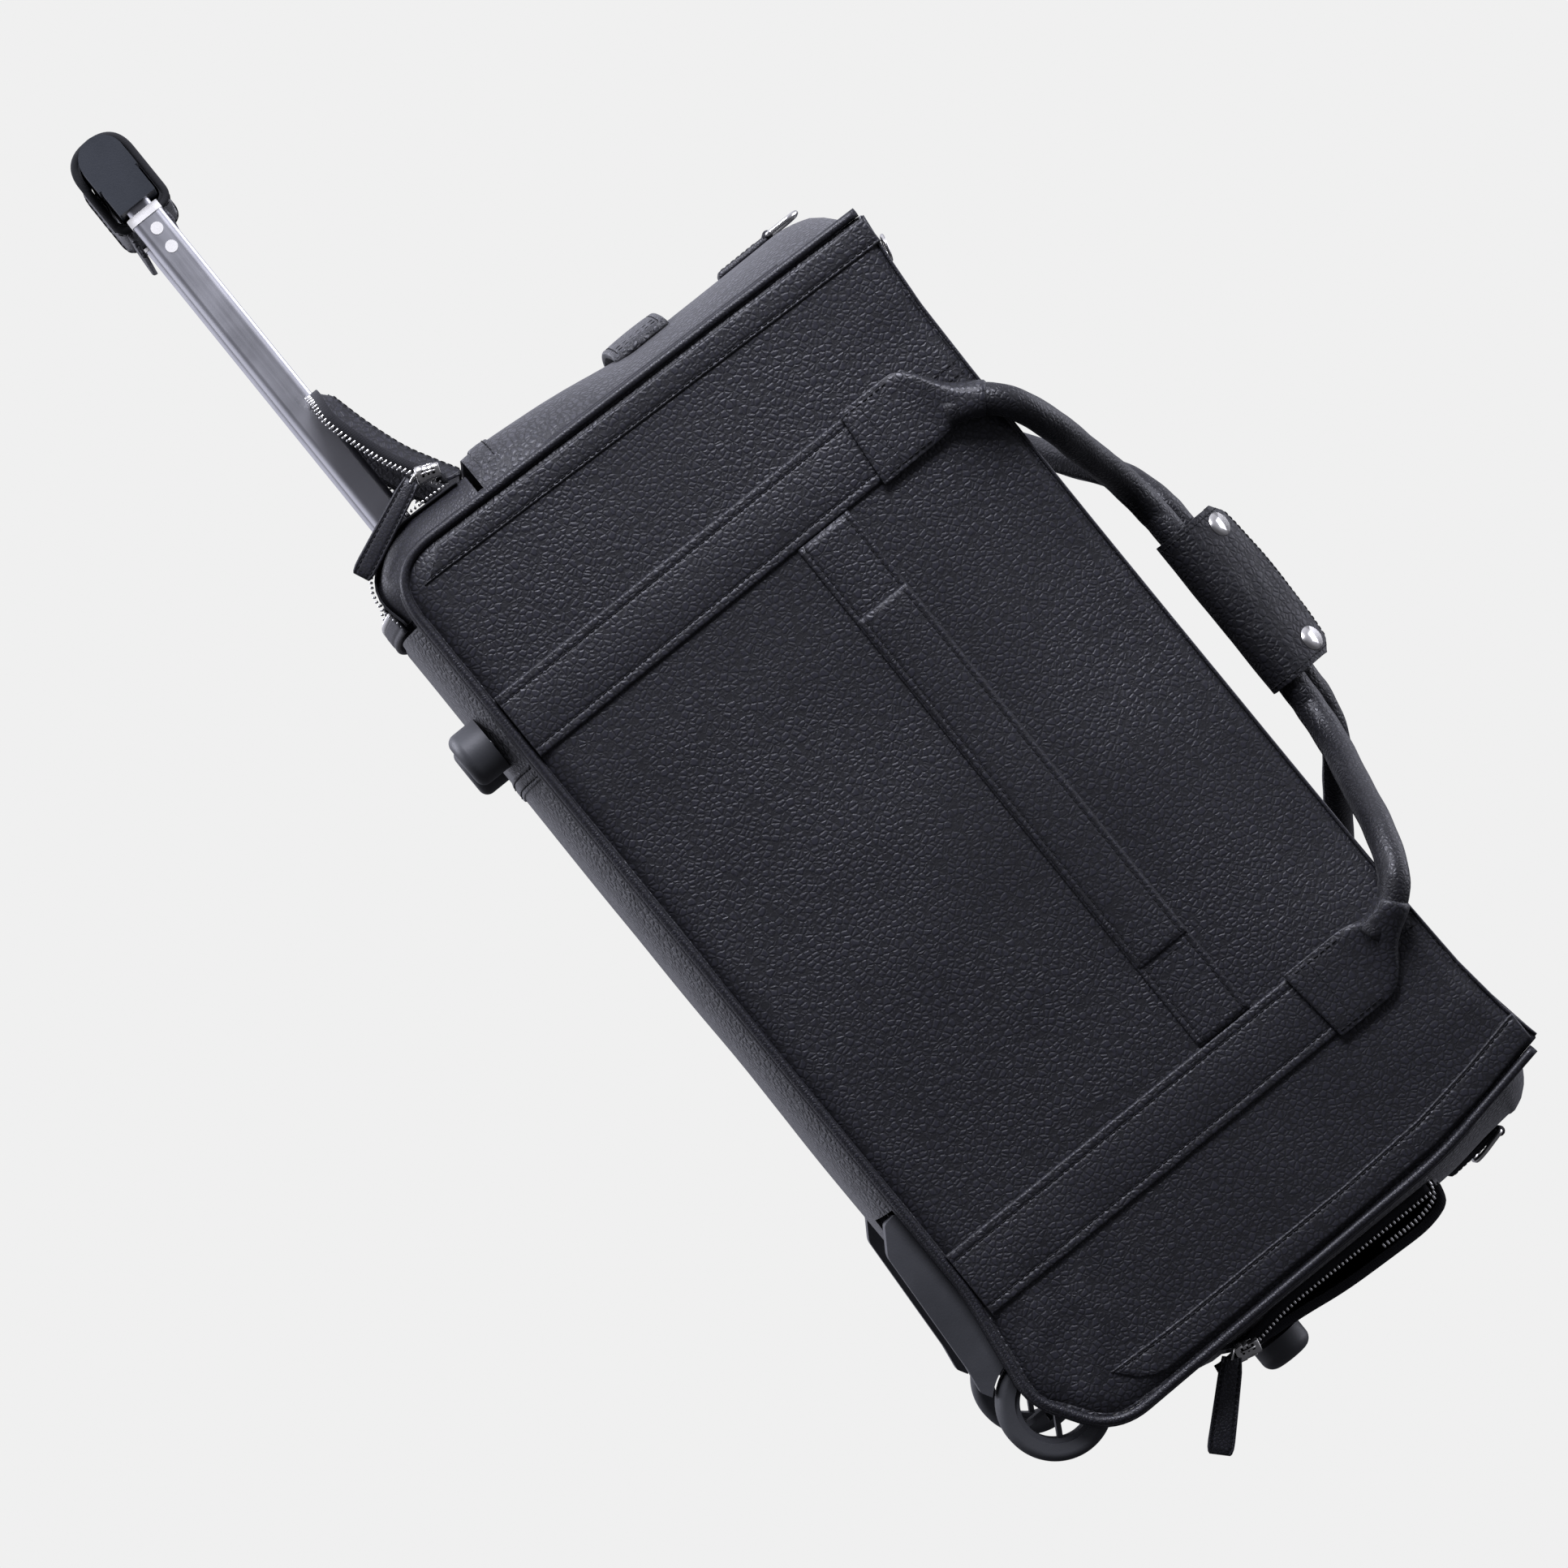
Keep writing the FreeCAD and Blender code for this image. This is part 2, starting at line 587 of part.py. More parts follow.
def handle_wrap(tube_z):
    """Half of the handle wrap: leather round the tube, sloping up to the ridge over the middle plane."""
    outer = HANDLE_RADIUS + GAP + WRAP_THICKNESS
    x_low = HANDLE_MIDDLE_X - WRAP_HALF_LENGTH
    tube_y = -10.5
    corners = [
        V(0, tube_y - outer * math.cos(0.6), tube_z + outer * math.sin(0.6)),
        *wrap_shoulder(tube_z),
        V(0, -GAP, WRAP_TOP_Z),
        V(0, -GAP, tube_z),
        V(0, tube_y, tube_z),
    ]
    wedge = Part.Face(Part.makePolygon(corners + corners[:1])).extrude(V(2 * WRAP_HALF_LENGTH, 0, 0))
    wedge.translate(V(x_low, 0, 0))
    around = rod(V(x_low, tube_y, tube_z), V(1, 0, 0), outer, 2 * WRAP_HALF_LENGTH)
    hollow = rod(V(x_low - 1, tube_y, tube_z), V(1, 0, 0), HANDLE_RADIUS + GAP, 2 * WRAP_HALF_LENGTH + 2)
    return wedge.fuse(around).cut(hollow).removeSplitter()


def snap_buttons(tube_z):
    """Domed snap caps on the sloping shoulder of the front wrap."""
    lower, upper = wrap_shoulder(tube_z)
    slope = (upper - lower).normalize()
    outward = V(0, -slope.z, slope.y)
    made = []
    for x in (HANDLE_MIDDLE_X - SNAP_X, HANDLE_MIDDLE_X + SNAP_X):
        cap = Part.makeCylinder(SNAP_RADIUS, 2.0)
        cap = cap.makeFillet(1.2, [e for e in cap.Edges if e.BoundBox.ZMin > 1.9 and e.Length > 30])
        cap.Placement = FreeCAD.Placement(V(x, 0, 0) + (lower + upper) * 0.5, FreeCAD.Rotation(V(0, 0, 1), outward))
        made.append(cap)
    return Part.makeCompound(made)


# ---------------------------------------------------------------- wheels, feet, studs

def wheel_housings():
    """Plastic corner mouldings: a skid rail, an arched roof over the wheel and an inner arm for the axle."""
    y_low, y_high = -HOUSING_Y[1], -HOUSING_Y[0]
    profile = side_face([(129.0, 25.0, 1.0), (130.0, 18.0, 3.0), (143.0, 9.5, 8.0), (208.0, 5.5, 10.0),
                         (221.0, 3.5, 1.0), (229.0, 8.0, 1.0), (229.0, 25.0, 1.0)])
    rail = side_prism(profile, y_low, y_high)
    roof = rod(V(WHEEL_X, y_low, WHEEL_RADIUS), V(0, 1, 0), 33.5, y_high - y_low)
    roof = roof.common(box((200.0, 262.0), (y_low, y_high), (20.0, 70.0)))
    clearance = rod(V(WHEEL_X, y_low - 1, WHEEL_RADIUS), V(0, 1, 0), WHEEL_RADIUS + 2.2, y_high - y_low + 2)
    arm = box((WHEEL_X - 7, WHEEL_X + 7), (y_high, y_high + 3.0), (WHEEL_RADIUS - 7, 61.0))
    bridge = box((WHEEL_X - 7, WHEEL_X + 7), (y_high - 1.0, y_high + 3.0), (WHEEL_RADIUS + WHEEL_RADIUS + 2.5, 61.0))
    bore = rod(V(WHEEL_X, y_high - 5, WHEEL_RADIUS), V(0, 1, 0), AXLE_RADIUS, 12.0)
    body = rail.fuse(roof).cut(clearance).fuse([arm, bridge]).cut(bore)
    return both_sides(body.removeSplitter())


def tyre():
    y_low = -WHEEL_Y - WHEEL_WIDTH / 2
    ring = rod(V(WHEEL_X, y_low, WHEEL_RADIUS), V(0, 1, 0), WHEEL_RADIUS, WHEEL_WIDTH)
    ring = ring.makeFillet(4.0, [e for e in ring.Edges if e.Length > 100])
    return ring.cut(rod(V(WHEEL_X, y_low - 1, WHEEL_RADIUS), V(0, 1, 0), RIM_RADIUS, WHEEL_WIDTH + 2))


def hub():
    """A rim and a boss joined by six spokes, bored to run on the axle."""
    y_low = -WHEEL_Y - WHEEL_WIDTH / 2 + 2
    width = WHEEL_WIDTH - 4
    centre = V(WHEEL_X, y_low, WHEEL_RADIUS)
    along = V(0, 1, 0)
    rim = rod(centre, along, RIM_RADIUS, width).cut(rod(centre, along, RIM_RADIUS - 2.5, width))
    boss = rod(centre, along, 6.0, width)
    web = box((WHEEL_X - 1.2, WHEEL_X + 1.2), (y_low + 3, y_low + width - 3),
              (WHEEL_RADIUS + 4, WHEEL_RADIUS + RIM_RADIUS - 1.5))
    spokes = []
    for i in range(6):
        spoke = web.copy()
        spoke.rotate(V(WHEEL_X, 0, WHEEL_RADIUS), along, 60.0 * i)
        spokes.append(spoke)
    bore = rod(centre - V(0, 1, 0), along, AXLE_RADIUS + 0.05, width + 2)
    return rim.fuse([boss] + spokes).cut(bore).removeSplitter()


def axles():
    """Steel pins from the inner arms out through the hubs, with a flat head outside."""
    outer_y = -WHEEL_Y - WHEEL_WIDTH / 2 + 1.6
    pin = rod(V(WHEEL_X, outer_y, WHEEL_RADIUS), V(0, 1, 0), AXLE_RADIUS, -HOUSING_Y[0] + 3.0 - outer_y)
    head = rod(V(WHEEL_X, outer_y - 1.5, WHEEL_RADIUS), V(0, 1, 0), 4.6, 1.5)
    return both_sides(pin.fuse(head).removeSplitter())


def base_feet():
    """Domed feet with flat soles under the handle end, let into the base."""
    dome = rod(V(FOOT_X, -FOOT_Y, 0), V(0, 0, 1), FOOT_RADIUS, 17.2)
    sole = [e for e in dome.Edges if e.BoundBox.ZMax < 0.1 and e.Length > 50]
    dome = dome.makeFillet(5.0, sole)
    screw = rod(V(FOOT_X, -FOOT_Y, 8.0), V(0, 0, 1), SCREW_RADIUS, 18.0)
    return both_sides(dome.cut(screw))


def end_studs():
    """Domed studs on the wheel end, for standing the bag upright."""
    stud = rod(V(292.7, -STUD_Y, STUD_Z), V(1, 0, 0), 13.5, 12.7)
    crown = [e for e in stud.Edges if e.BoundBox.XMin > 304.0 and e.Length > 50]
    return both_sides(stud.makeFillet(6.0, crown))


# ---------------------------------------------------------------- wheel-end pocket

def pocket_face(inset):
    return [(274.5 + inset, 92.0, 1.0), (290.0 - inset, 108.0 + inset, 8.0), (292.0 - inset, 140.0, 60.0),
            (298.0 - inset, 205.0, 60.0), (294.0 - inset, 236.0 - inset, 4.0), (276.0 + inset, 236.0 - inset, 1.0)]


def pocket():
    """A gusseted pocket on the wheel end, open along its front side where the zip runs."""
    body = side_prism(side_face(pocket_face(0.0)), -POCKET_HALF, POCKET_HALF)
    hollow = side_prism(side_face(pocket_face(1.8)), -POCKET_HALF - 1, POCKET_HALF - 1.8)
    return body.cut(hollow).cut(wheel_end_loft(True))


def pocket_zip():
    """The zip's two toothed tapes along the pocket's open side."""
    near = box((283.0, 284.6), (-POCKET_HALF - 4, -POCKET_HALF - 0.3), (122.0, 230.0))
    far = box((286.0, 287.6), (-POCKET_HALF - 4, -POCKET_HALF - 0.3), (122.0, 230.0))
    return Part.makeCompound([near, far])


def pocket_slider():
    return box((281.5, 288.5), (-POCKET_HALF - 6, -POCKET_HALF - 0.3), (112.0, 121.6))


def pocket_pull():
    direction = V(36.5, 0, -38.3).normalize()
    return hanging_tab(V(284.5, 0, 108.6), direction, 45.0, 11.0, 2.4, -POCKET_HALF - 3.5)


# ---------------------------------------------------------------- main zip and rings

def main_zip():
    """Two tapes and the chain along the bag's top."""
    x = (-244.0, 248.0)
    tape = box(x, (-14.0, -3.7), (CROWN_Z - 1.6, CROWN_Z - 0.4))
    chain = box(x, (-3.5, 3.5), (CROWN_Z - 2.0, CROWN_Z + 0.8))
    return Part.makeCompound([tape, mirrored(tape), chain])


def main_slider(x):
    return slider_body(x, 0.0, MAIN_ZIP_Z + 0.2, 12.0, 9.0, 3.0)


def ring(hinge, direction, radius, wire):
    """A round pull ring of wire, hanging from hinge and lying in the plane of direction and Y."""
    centre = hinge + direction * radius
    normal = direction.cross(V(0, 1, 0))
    return Part.makeTorus(radius, wire, centre, normal)


def ring_hinge(x):
    return V(x, 0, MAIN_ZIP_Z + 7.0)


def main_ring(x, way):
    direction = V(0.95 * way, 0, 0.30).normalize()
    return ring(ring_hinge(x), direction, RING_RADIUS, 0.9)


def d_ring(hinge, direction):
    """A D-ring of round wire: a straight bar on the hinge and a bow along direction."""
    half = 12.5
    bow = 18.0
    across = V(0, 1, 0)
    corners = [
        (hinge - across * half, 1.6),
        (hinge + across * half, 1.6),
        (hinge + across * half + direction * bow, 8.0),
        (hinge - across * half + direction * bow, 8.0),
    ]
    path = Part.Wire(rounded_edges(corners))
    start = path.Edges[0].valueAt(path.Edges[0].FirstParameter)
    tangent = path.Edges[0].tangentAt(path.Edges[0].FirstParameter)
    circle = Part.Wire(Part.makeCircle(1.3, start, tangent))
    return path.makePipeShell([circle], True, False)


def d_ring_handle_end():
    return d_ring(V(-277.4, 0, 280.4), V(0, 0, 1))


def d_ring_wheel_end():
    return d_ring(V(290.6, 0, 283.0), V(0.24, 0, -0.97).normalize())


PARTS = {
    "front_panel": front_panel,
    "back_panel": lambda: mirrored(front_panel()),
    "base_panel": base_panel,
    "handle_end_panel": handle_end_panel,
    "wheel_end_panel": wheel_end_panel,
    "top_panels": top_panels,
    "compartment_strips": compartment_strips,
    "piping": piping,
    "end_bands": end_bands,
    "straps": straps,
    "cross_bands": cross_bands,
    "chapes": chapes,
    "lining": lining,
    "base_board": base_board,
    "end_tabs": end_tabs,
    "grab_loop": grab_loop,
    "handle_well": handle_well,
    "flap": flap,
    "flap_zip": flap_zip,
    "well_zip": well_zip,
    "flap_slider": flap_slider,
    "flap_pull": flap_pull,
    "outer_tubes": outer_tubes,
    "middle_tubes": middle_tubes,
    "inner_tubes": inner_tubes,
    "collars": collars,
    "collar_rivets": collar_rivets,
    "grip_cap": grip_cap,
    "grip_yoke": grip_yoke,
    "grip_sleeve": grip_sleeve,
    "grip_button": grip_button,
    "release_rods": release_rods,
    "tube_bracket": tube_bracket,
    "screws": screws,
    "front_handle": lambda: carry_handle(FRONT_HANDLE_Z),
    "back_handle": lambda: mirrored(carry_handle(BACK_HANDLE_Z)),
    "front_wrap": lambda: handle_wrap(FRONT_HANDLE_Z),
    "back_wrap": lambda: mirrored(handle_wrap(BACK_HANDLE_Z)),
    "snap_caps": lambda: snap_buttons(FRONT_HANDLE_Z),
    "snap_sockets": lambda: mirrored(snap_buttons(BACK_HANDLE_Z)),
    "wheel_housings": wheel_housings,
    "front_tyre": tyre,
    "back_tyre": lambda: mirrored(tyre()),
    "front_hub": hub,
    "back_hub": lambda: mirrored(hub()),
    "axles": axles,
    "base_feet": base_feet,
    "end_studs": end_studs,
    "pocket": pocket,
    "pocket_zip": pocket_zip,
    "pocket_slider": pocket_slider,
    "pocket_pull": pocket_pull,
    "main_zip": main_zip,
    "main_slider_handle_end": lambda: main_slider(SLIDER_XS[0]),
    "main_slider_wheel_end": lambda: main_slider(SLIDER_XS[1]),
    "main_ring_handle_end": lambda: main_ring(SLIDER_XS[0], -1),
    "main_ring_wheel_end": lambda: main_ring(SLIDER_XS[1], 1),
    "d_ring_handle_end": d_ring_handle_end,
    "d_ring_wheel_end": d_ring_wheel_end,
}


def save(name, shape):
    shape.translate(V(BAG_MIDDLE_X, 0, 0))
    shape.exportStep(os.path.join("parts", name + ".step"))


def main():
    os.makedirs("parts", exist_ok=True)
    for name, make in PARTS.items():
        save(name, make())


main()
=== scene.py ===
import math
import bmesh
import bpy
import numpy as np
from mathutils import Matrix, Vector, noise

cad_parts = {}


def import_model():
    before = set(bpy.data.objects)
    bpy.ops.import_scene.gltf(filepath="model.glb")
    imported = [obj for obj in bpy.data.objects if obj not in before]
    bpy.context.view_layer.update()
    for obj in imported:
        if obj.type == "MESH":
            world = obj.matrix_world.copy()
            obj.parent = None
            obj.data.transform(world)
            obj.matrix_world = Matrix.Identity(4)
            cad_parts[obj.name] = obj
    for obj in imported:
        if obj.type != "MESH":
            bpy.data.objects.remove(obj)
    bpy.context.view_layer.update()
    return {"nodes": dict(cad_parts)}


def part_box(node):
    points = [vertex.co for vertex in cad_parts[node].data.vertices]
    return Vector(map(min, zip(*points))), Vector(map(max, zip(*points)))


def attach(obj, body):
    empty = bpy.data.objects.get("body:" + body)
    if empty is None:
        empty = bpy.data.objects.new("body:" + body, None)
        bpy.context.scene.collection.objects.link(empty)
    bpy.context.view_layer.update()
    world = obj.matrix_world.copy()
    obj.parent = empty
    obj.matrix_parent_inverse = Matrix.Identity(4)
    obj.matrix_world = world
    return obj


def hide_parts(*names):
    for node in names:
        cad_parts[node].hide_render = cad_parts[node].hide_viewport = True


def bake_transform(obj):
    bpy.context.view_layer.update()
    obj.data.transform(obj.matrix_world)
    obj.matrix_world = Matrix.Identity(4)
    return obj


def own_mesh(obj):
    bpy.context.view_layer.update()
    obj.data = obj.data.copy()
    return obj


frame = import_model()
NODES = frame["nodes"]

# Sizes below are millimetres from the bag's middle; at() gives metres in the frame.
HANDLE_X = 8.5
MIDDLE = (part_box("front_handle")[0].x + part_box("front_handle")[1].x) * 500 - HANDLE_X
DEPTH = -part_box("front_panel")[0].y * 1000
HALF = 118
STRAPS = (-163.0, 177.0)
CHAPE_TOP_Z = 285
FRONT_TUBE_Z, BACK_TUBE_Z = 343.0, 351.0
BAND_Z = (187.0 + 218.0) / 2
HINGE = (-279, 0, 87)
GRAB_Z = 196.0
LEFT_TOP, RIGHT_TOP = (-251.3, 309), (257.5, 309)
OUTLINE = [(-258, 30, 25), (180, 31, 120), (238, 22.5, 28), (272, 44, 30), (268.5, 245, 200),
           (256, 316.5, 2), (205, 308, 80), (-200, 306, 80), (-250.5, 312.5, 2)]


def at(x, y, z):
    return ((x + MIDDLE) / 1000, y / 1000, z / 1000)


def ease(a, b, t):
    t = min(max((t - a) / (b - a), 0.0), 1.0)
    return t * t * (3 - 2 * t)


def wobble(x, y, z, size, seed=0.0):
    return noise.noise(Vector((x / size + seed, y / size - seed, z / size + 2 * seed)))


# ------------------------------------------------------------------ materials

def nodes_of(name):
    mat = bpy.data.materials.new(name)
    mat.use_nodes = True
    tree = mat.node_tree
    return mat, tree, tree.nodes["Principled BSDF"]


def surface_of(name):
    """A new material with its nodes and the place on the piece that its textures follow."""
    mat, tree, shader = nodes_of(name)
    return mat, tree, shader, node(tree, "ShaderNodeTexCoord").outputs["Object"]


def node(tree, kind, inputs=None, **settings):
    made = tree.nodes.new(kind)
    for key, value in settings.items():
        setattr(made, key, value)
    for key, value in (inputs or {}).items():
        socket = made.inputs[key]
        if isinstance(value, bpy.types.NodeSocket):
            tree.links.new(value, socket)
        else:
            socket.default_value = value
    return made


def maths(tree, operation, a, b=0.0, c=0.0):
    return node(tree, "ShaderNodeMath", {0: a, 1: b, 2: c}, operation=operation).outputs[0]


def mix_colour(tree, factor, a, b):
    made = node(tree, "ShaderNodeMix", data_type="RGBA")
    for index, value in ((0, factor), (6, a), (7, b)):
        if isinstance(value, bpy.types.NodeSocket):
            tree.links.new(value, made.inputs[index])
        else:
            made.inputs[index].default_value = value if index == 0 else (*value, 1.0)
    return made.outputs[2]


def remap(tree, value, low, high, to_low, to_high, kind="SMOOTHSTEP"):
    return node(tree, "ShaderNodeMapRange", {0: value, 1: low, 2: high, 3: to_low, 4: to_high},
                interpolation_type=kind).outputs[0]


def texture(tree, where, scale, detail, **more):
    """A fractal noise value at a place."""
    values = {"Vector": where, "Scale": scale, "Detail": detail, **more}
    return node(tree, "ShaderNodeTexNoise", values).outputs[0]


def finish_material(tree, shader, colour, rough, height, depth, **fixed):
    tree.links.new(colour, shader.inputs["Base Color"])
    tree.links.new(rough, shader.inputs["Roughness"])
    bump = node(tree, "ShaderNodeBump", {"Height": height, "Distance": depth / 1000, "Strength": 1.0})
    tree.links.new(bump.outputs[0], shader.inputs["Normal"])
    for key, value in fixed.items():
        shader.inputs[key.replace("_", " ")].default_value = value


def leather(name, cell=3.0, depth=0.21, shaded_crease_colour=(0.0006, 0.0006, 0.0010), light=(0.0125, 0.0125, 0.0165),
            gloss=(0.36, 0.56), calm=0.62, sheen=0.03, spec=0.32):
    """Pebbled leather: swollen grains between creases, calmer in places, with fine pores; the creases are
    painted darker, painted shade between the grains.
    """
    mat, tree, shader, where = surface_of(name)
    drift = node(tree, "ShaderNodeTexNoise",
                 {"Vector": where, "Scale": 260.0, "Detail": 2.0}).outputs["Color"]
    shift = node(tree, "ShaderNodeVectorMath", {0: drift, 1: (0.0016, 0.0016, 0.0016)}, operation="MULTIPLY")
    moved = node(tree, "ShaderNodeVectorMath", {0: where, 1: shift.outputs[0]}, operation="ADD").outputs[0]
    grain = node(tree, "ShaderNodeTexVoronoi", {"Vector": moved, "Scale": 1000.0 / cell, "Randomness": 0.95},
                 feature="DISTANCE_TO_EDGE").outputs["Distance"]
    pebble = remap(tree, grain, 0.0, 0.30, 0.0, 1.0)
    small = node(tree, "ShaderNodeTexVoronoi", {"Vector": moved, "Scale": 2300.0 / cell, "Randomness": 1.0},
                 feature="SMOOTH_F1").outputs["Distance"]
    pores = texture(tree, where, 2600.0, 3.0)
    zone = texture(tree, where, 8.0, 2.0)
    strength = remap(tree, zone, 0.35, 0.6, calm, 1.0)
    creases = texture(tree, where, 55.0, 5.0, Roughness=0.62)
    height = maths(tree, "MULTIPLY", pebble, strength)
    height = maths(tree, "MULTIPLY_ADD", small, -0.25, height)
    height = maths(tree, "MULTIPLY_ADD", pores, 0.16, height)
    height = maths(tree, "MULTIPLY_ADD", creases, 0.7, height)
    # Colour: painted shade, darker towards each grain's edge in the creases, plus a random broad tone.
    tone_and_crease_shade = maths(tree, "MULTIPLY_ADD", zone, 0.3, maths(tree, "MULTIPLY", pebble, 0.85))
    colour = mix_colour(tree, tone_and_crease_shade, shaded_crease_colour, light)
    worn = maths(tree, "MULTIPLY_ADD", pores, 0.5, pebble)
    rough = remap(tree, worn, 0.0, 1.5, gloss[1], gloss[0], "LINEAR")
    finish_material(tree, shader, colour, rough, height, depth, Specular_IOR_Level=spec, Sheen_Weight=sheen,
                    Sheen_Roughness=0.45, Coat_Weight=0.03, Coat_Roughness=0.35)
    return mat


def plastic(name, low, high, gloss, grain=900.0, depth=0.05, spec=0.45):
    """Moulded plastic or rubber with a fine spark texture and slight scuffs."""
    mat, tree, shader, where = surface_of(name)
    fine = texture(tree, where, grain, 4.0)
    broad = texture(tree, where, 22.0, 5.0)
    colour = mix_colour(tree, remap(tree, broad, 0.3, 0.7, 0.0, 1.0), low, high)
    rough = remap(tree, maths(tree, "MULTIPLY_ADD", fine, 0.4, broad), 0.3, 1.1, gloss[0], gloss[1], "LINEAR")
    finish_material(tree, shader, colour, rough, fine, depth, Specular_IOR_Level=spec)
    return mat


def metal(name, low, high, gloss, stretch=(1, 1, 1)):
    """Polished or drawn metal: fine lines along the long direction and faint handling marks."""
    mat, tree, shader, where = surface_of(name)
    along = node(tree, "ShaderNodeMapping", {"Vector": where, "Scale": stretch}).outputs[0]
    lines = texture(tree, along, 700.0, 4.0)
    marks = texture(tree, where, 40.0, 6.0)
    colour = mix_colour(tree, marks, low, high)
    worn = maths(tree, "MULTIPLY_ADD", lines, 0.6, marks)
    rough = remap(tree, worn, 0.4, 1.3, gloss[0], gloss[1], "LINEAR")
    finish_material(tree, shader, colour, rough, lines, 0.01, Metallic=1.0)
    return mat


def weave(name, low, high, pitch=0.55, sheen=0.1):
    """Plain woven tape or lining."""
    mat, tree, shader, where = surface_of(name)
    heights = []
    for turn in ("X", "Z", "Y"):
        wave = node(tree, "ShaderNodeTexWave", {"Vector": where, "Scale": 1000.0 / pitch / 6.283,
                                                "Distortion": 0.4, "Detail": 1.0}, bands_direction=turn)
        heights.append(wave.outputs["Fac"])
    height = maths(tree, "MAXIMUM", maths(tree, "MAXIMUM", heights[0], heights[1]), heights[2])
    dust = texture(tree, where, 60.0, 6.0)
    # Colour is darker in the low parts of the weave, painted shade between the threads, and varies with the
    # broad dust noise.
    colour = mix_colour(tree, maths(tree, "MULTIPLY", height, dust), low, high)
    rough = remap(tree, dust, 0.3, 0.7, 0.75, 0.95)
    finish_material(tree, shader, colour, rough, height, 0.12, Sheen_Weight=sheen, Specular_IOR_Level=0.2)
    return mat


MATS = {
    "leather": leather("pebbled_leather"),
    # A paler copy of the panel leather for the ends, base, their seams, grab strap, pocket side and grip
    # sleeve: its lighter colour is painted light, standing for the grazing light on these faces.
    "lit_end_leather": leather("end_leather_painted_lighter", cell=3.2, depth=0.40, calm=0.8, sheen=0.17,
                           gloss=(0.38, 0.60), spec=0.36,
                           shaded_crease_colour=(0.0010, 0.0010, 0.0014), light=(0.019, 0.0192, 0.023)),
    "trim": leather("trim_leather", cell=1.8, depth=0.12, calm=0.25, gloss=(0.36, 0.54), sheen=0.02),
    "handle": leather("handle_leather", cell=2.6, depth=0.20, calm=0.7, gloss=(0.34, 0.54), spec=0.28,
                      shaded_crease_colour=(0.0016, 0.0016, 0.002), light=(0.0072, 0.0072, 0.0092)),
    "wrap": leather("wrap_leather", cell=3.3, depth=0.24, gloss=(0.42, 0.60), spec=0.20,
                    shaded_crease_colour=(0.0014, 0.0014, 0.0018), light=(0.0060, 0.0060, 0.0078)),
    "suede": plastic("leather_back", (0.006, 0.0065, 0.007), (0.016, 0.016, 0.017), (0.85, 0.98),
                     1500.0, 0.12, 0.2),
    "thread": weave("black_thread", (0.002, 0.002, 0.0024), (0.008, 0.008, 0.009), pitch=0.35, sheen=0.02),
    "tape": weave("zip_tape", (0.004, 0.004, 0.005), (0.014, 0.014, 0.016)),
    "lining": weave("lining_cloth", (0.01, 0.01, 0.012), (0.03, 0.03, 0.034), pitch=0.8),
    "board": plastic("fibre_board", (0.02, 0.019, 0.018), (0.05, 0.046, 0.042), (0.7, 0.9), 400.0, 0.1),
    "black_plastic": plastic("moulded_black", (0.018, 0.019, 0.021), (0.03, 0.031, 0.034), (0.42, 0.6)),
    "grip": plastic("grip_slate", (0.008, 0.0100, 0.013), (0.013, 0.0155, 0.0195), (0.36, 0.50),
                    1200.0, 0.03, 0.32),
    "pale": plastic("bush_grey", (0.46, 0.45, 0.42), (0.56, 0.55, 0.52), (0.4, 0.6)),
    "tyre": plastic("tyre_rubber", (0.016, 0.017, 0.019), (0.028, 0.029, 0.031), (0.55, 0.75),
                    600.0, 0.06, 0.35),
    "rubber": plastic("foot_rubber", (0.022, 0.023, 0.025), (0.036, 0.037, 0.039), (0.42, 0.6), 800.0, 0.04),
    "nickel": metal("polished_nickel", (0.50, 0.49, 0.46), (0.64, 0.63, 0.60), (0.14, 0.28)),
    "teeth": metal("zip_metal", (0.52, 0.52, 0.50), (0.74, 0.73, 0.70), (0.18, 0.34)),
    "tube": metal("drawn_aluminium", (0.60, 0.60, 0.62), (0.74, 0.74, 0.76), (0.24, 0.36), (0.02, 1, 1)),
    "steel": metal("zinc_steel", (0.48, 0.48, 0.49), (0.62, 0.62, 0.62), (0.25, 0.42)),
}
SLOTS = dict.fromkeys(("leather", "lit_end_leather", "trim", "handle", "wrap", "suede", "thread"), "leather")
SLOTS |= {"tape": "zip_metal", "teeth": "zip_metal", "lining": "lining", "nickel": "nickel"}
KEPT = {"board": "base_board", "lining": "handle_well", "tube": "outer_tubes middle_tubes inner_tubes",
        "pale": "collars collar_rivets", "grip": "grip_cap grip_yoke",
        "black_plastic": "grip_button tube_bracket wheel_housings front_hub back_hub",
        "steel": "release_rods screws axles", "tyre": "front_tyre back_tyre", "rubber": "base_feet end_studs",
        "nickel": "main_ring_handle_end main_ring_wheel_end d_ring_handle_end d_ring_wheel_end"}
for kind, names in KEPT.items():
    for name in names.split():
        NODES[name].data.materials.clear()
        NODES[name].data.materials.append(MATS[kind])


# ------------------------------------------------------------------ building pieces

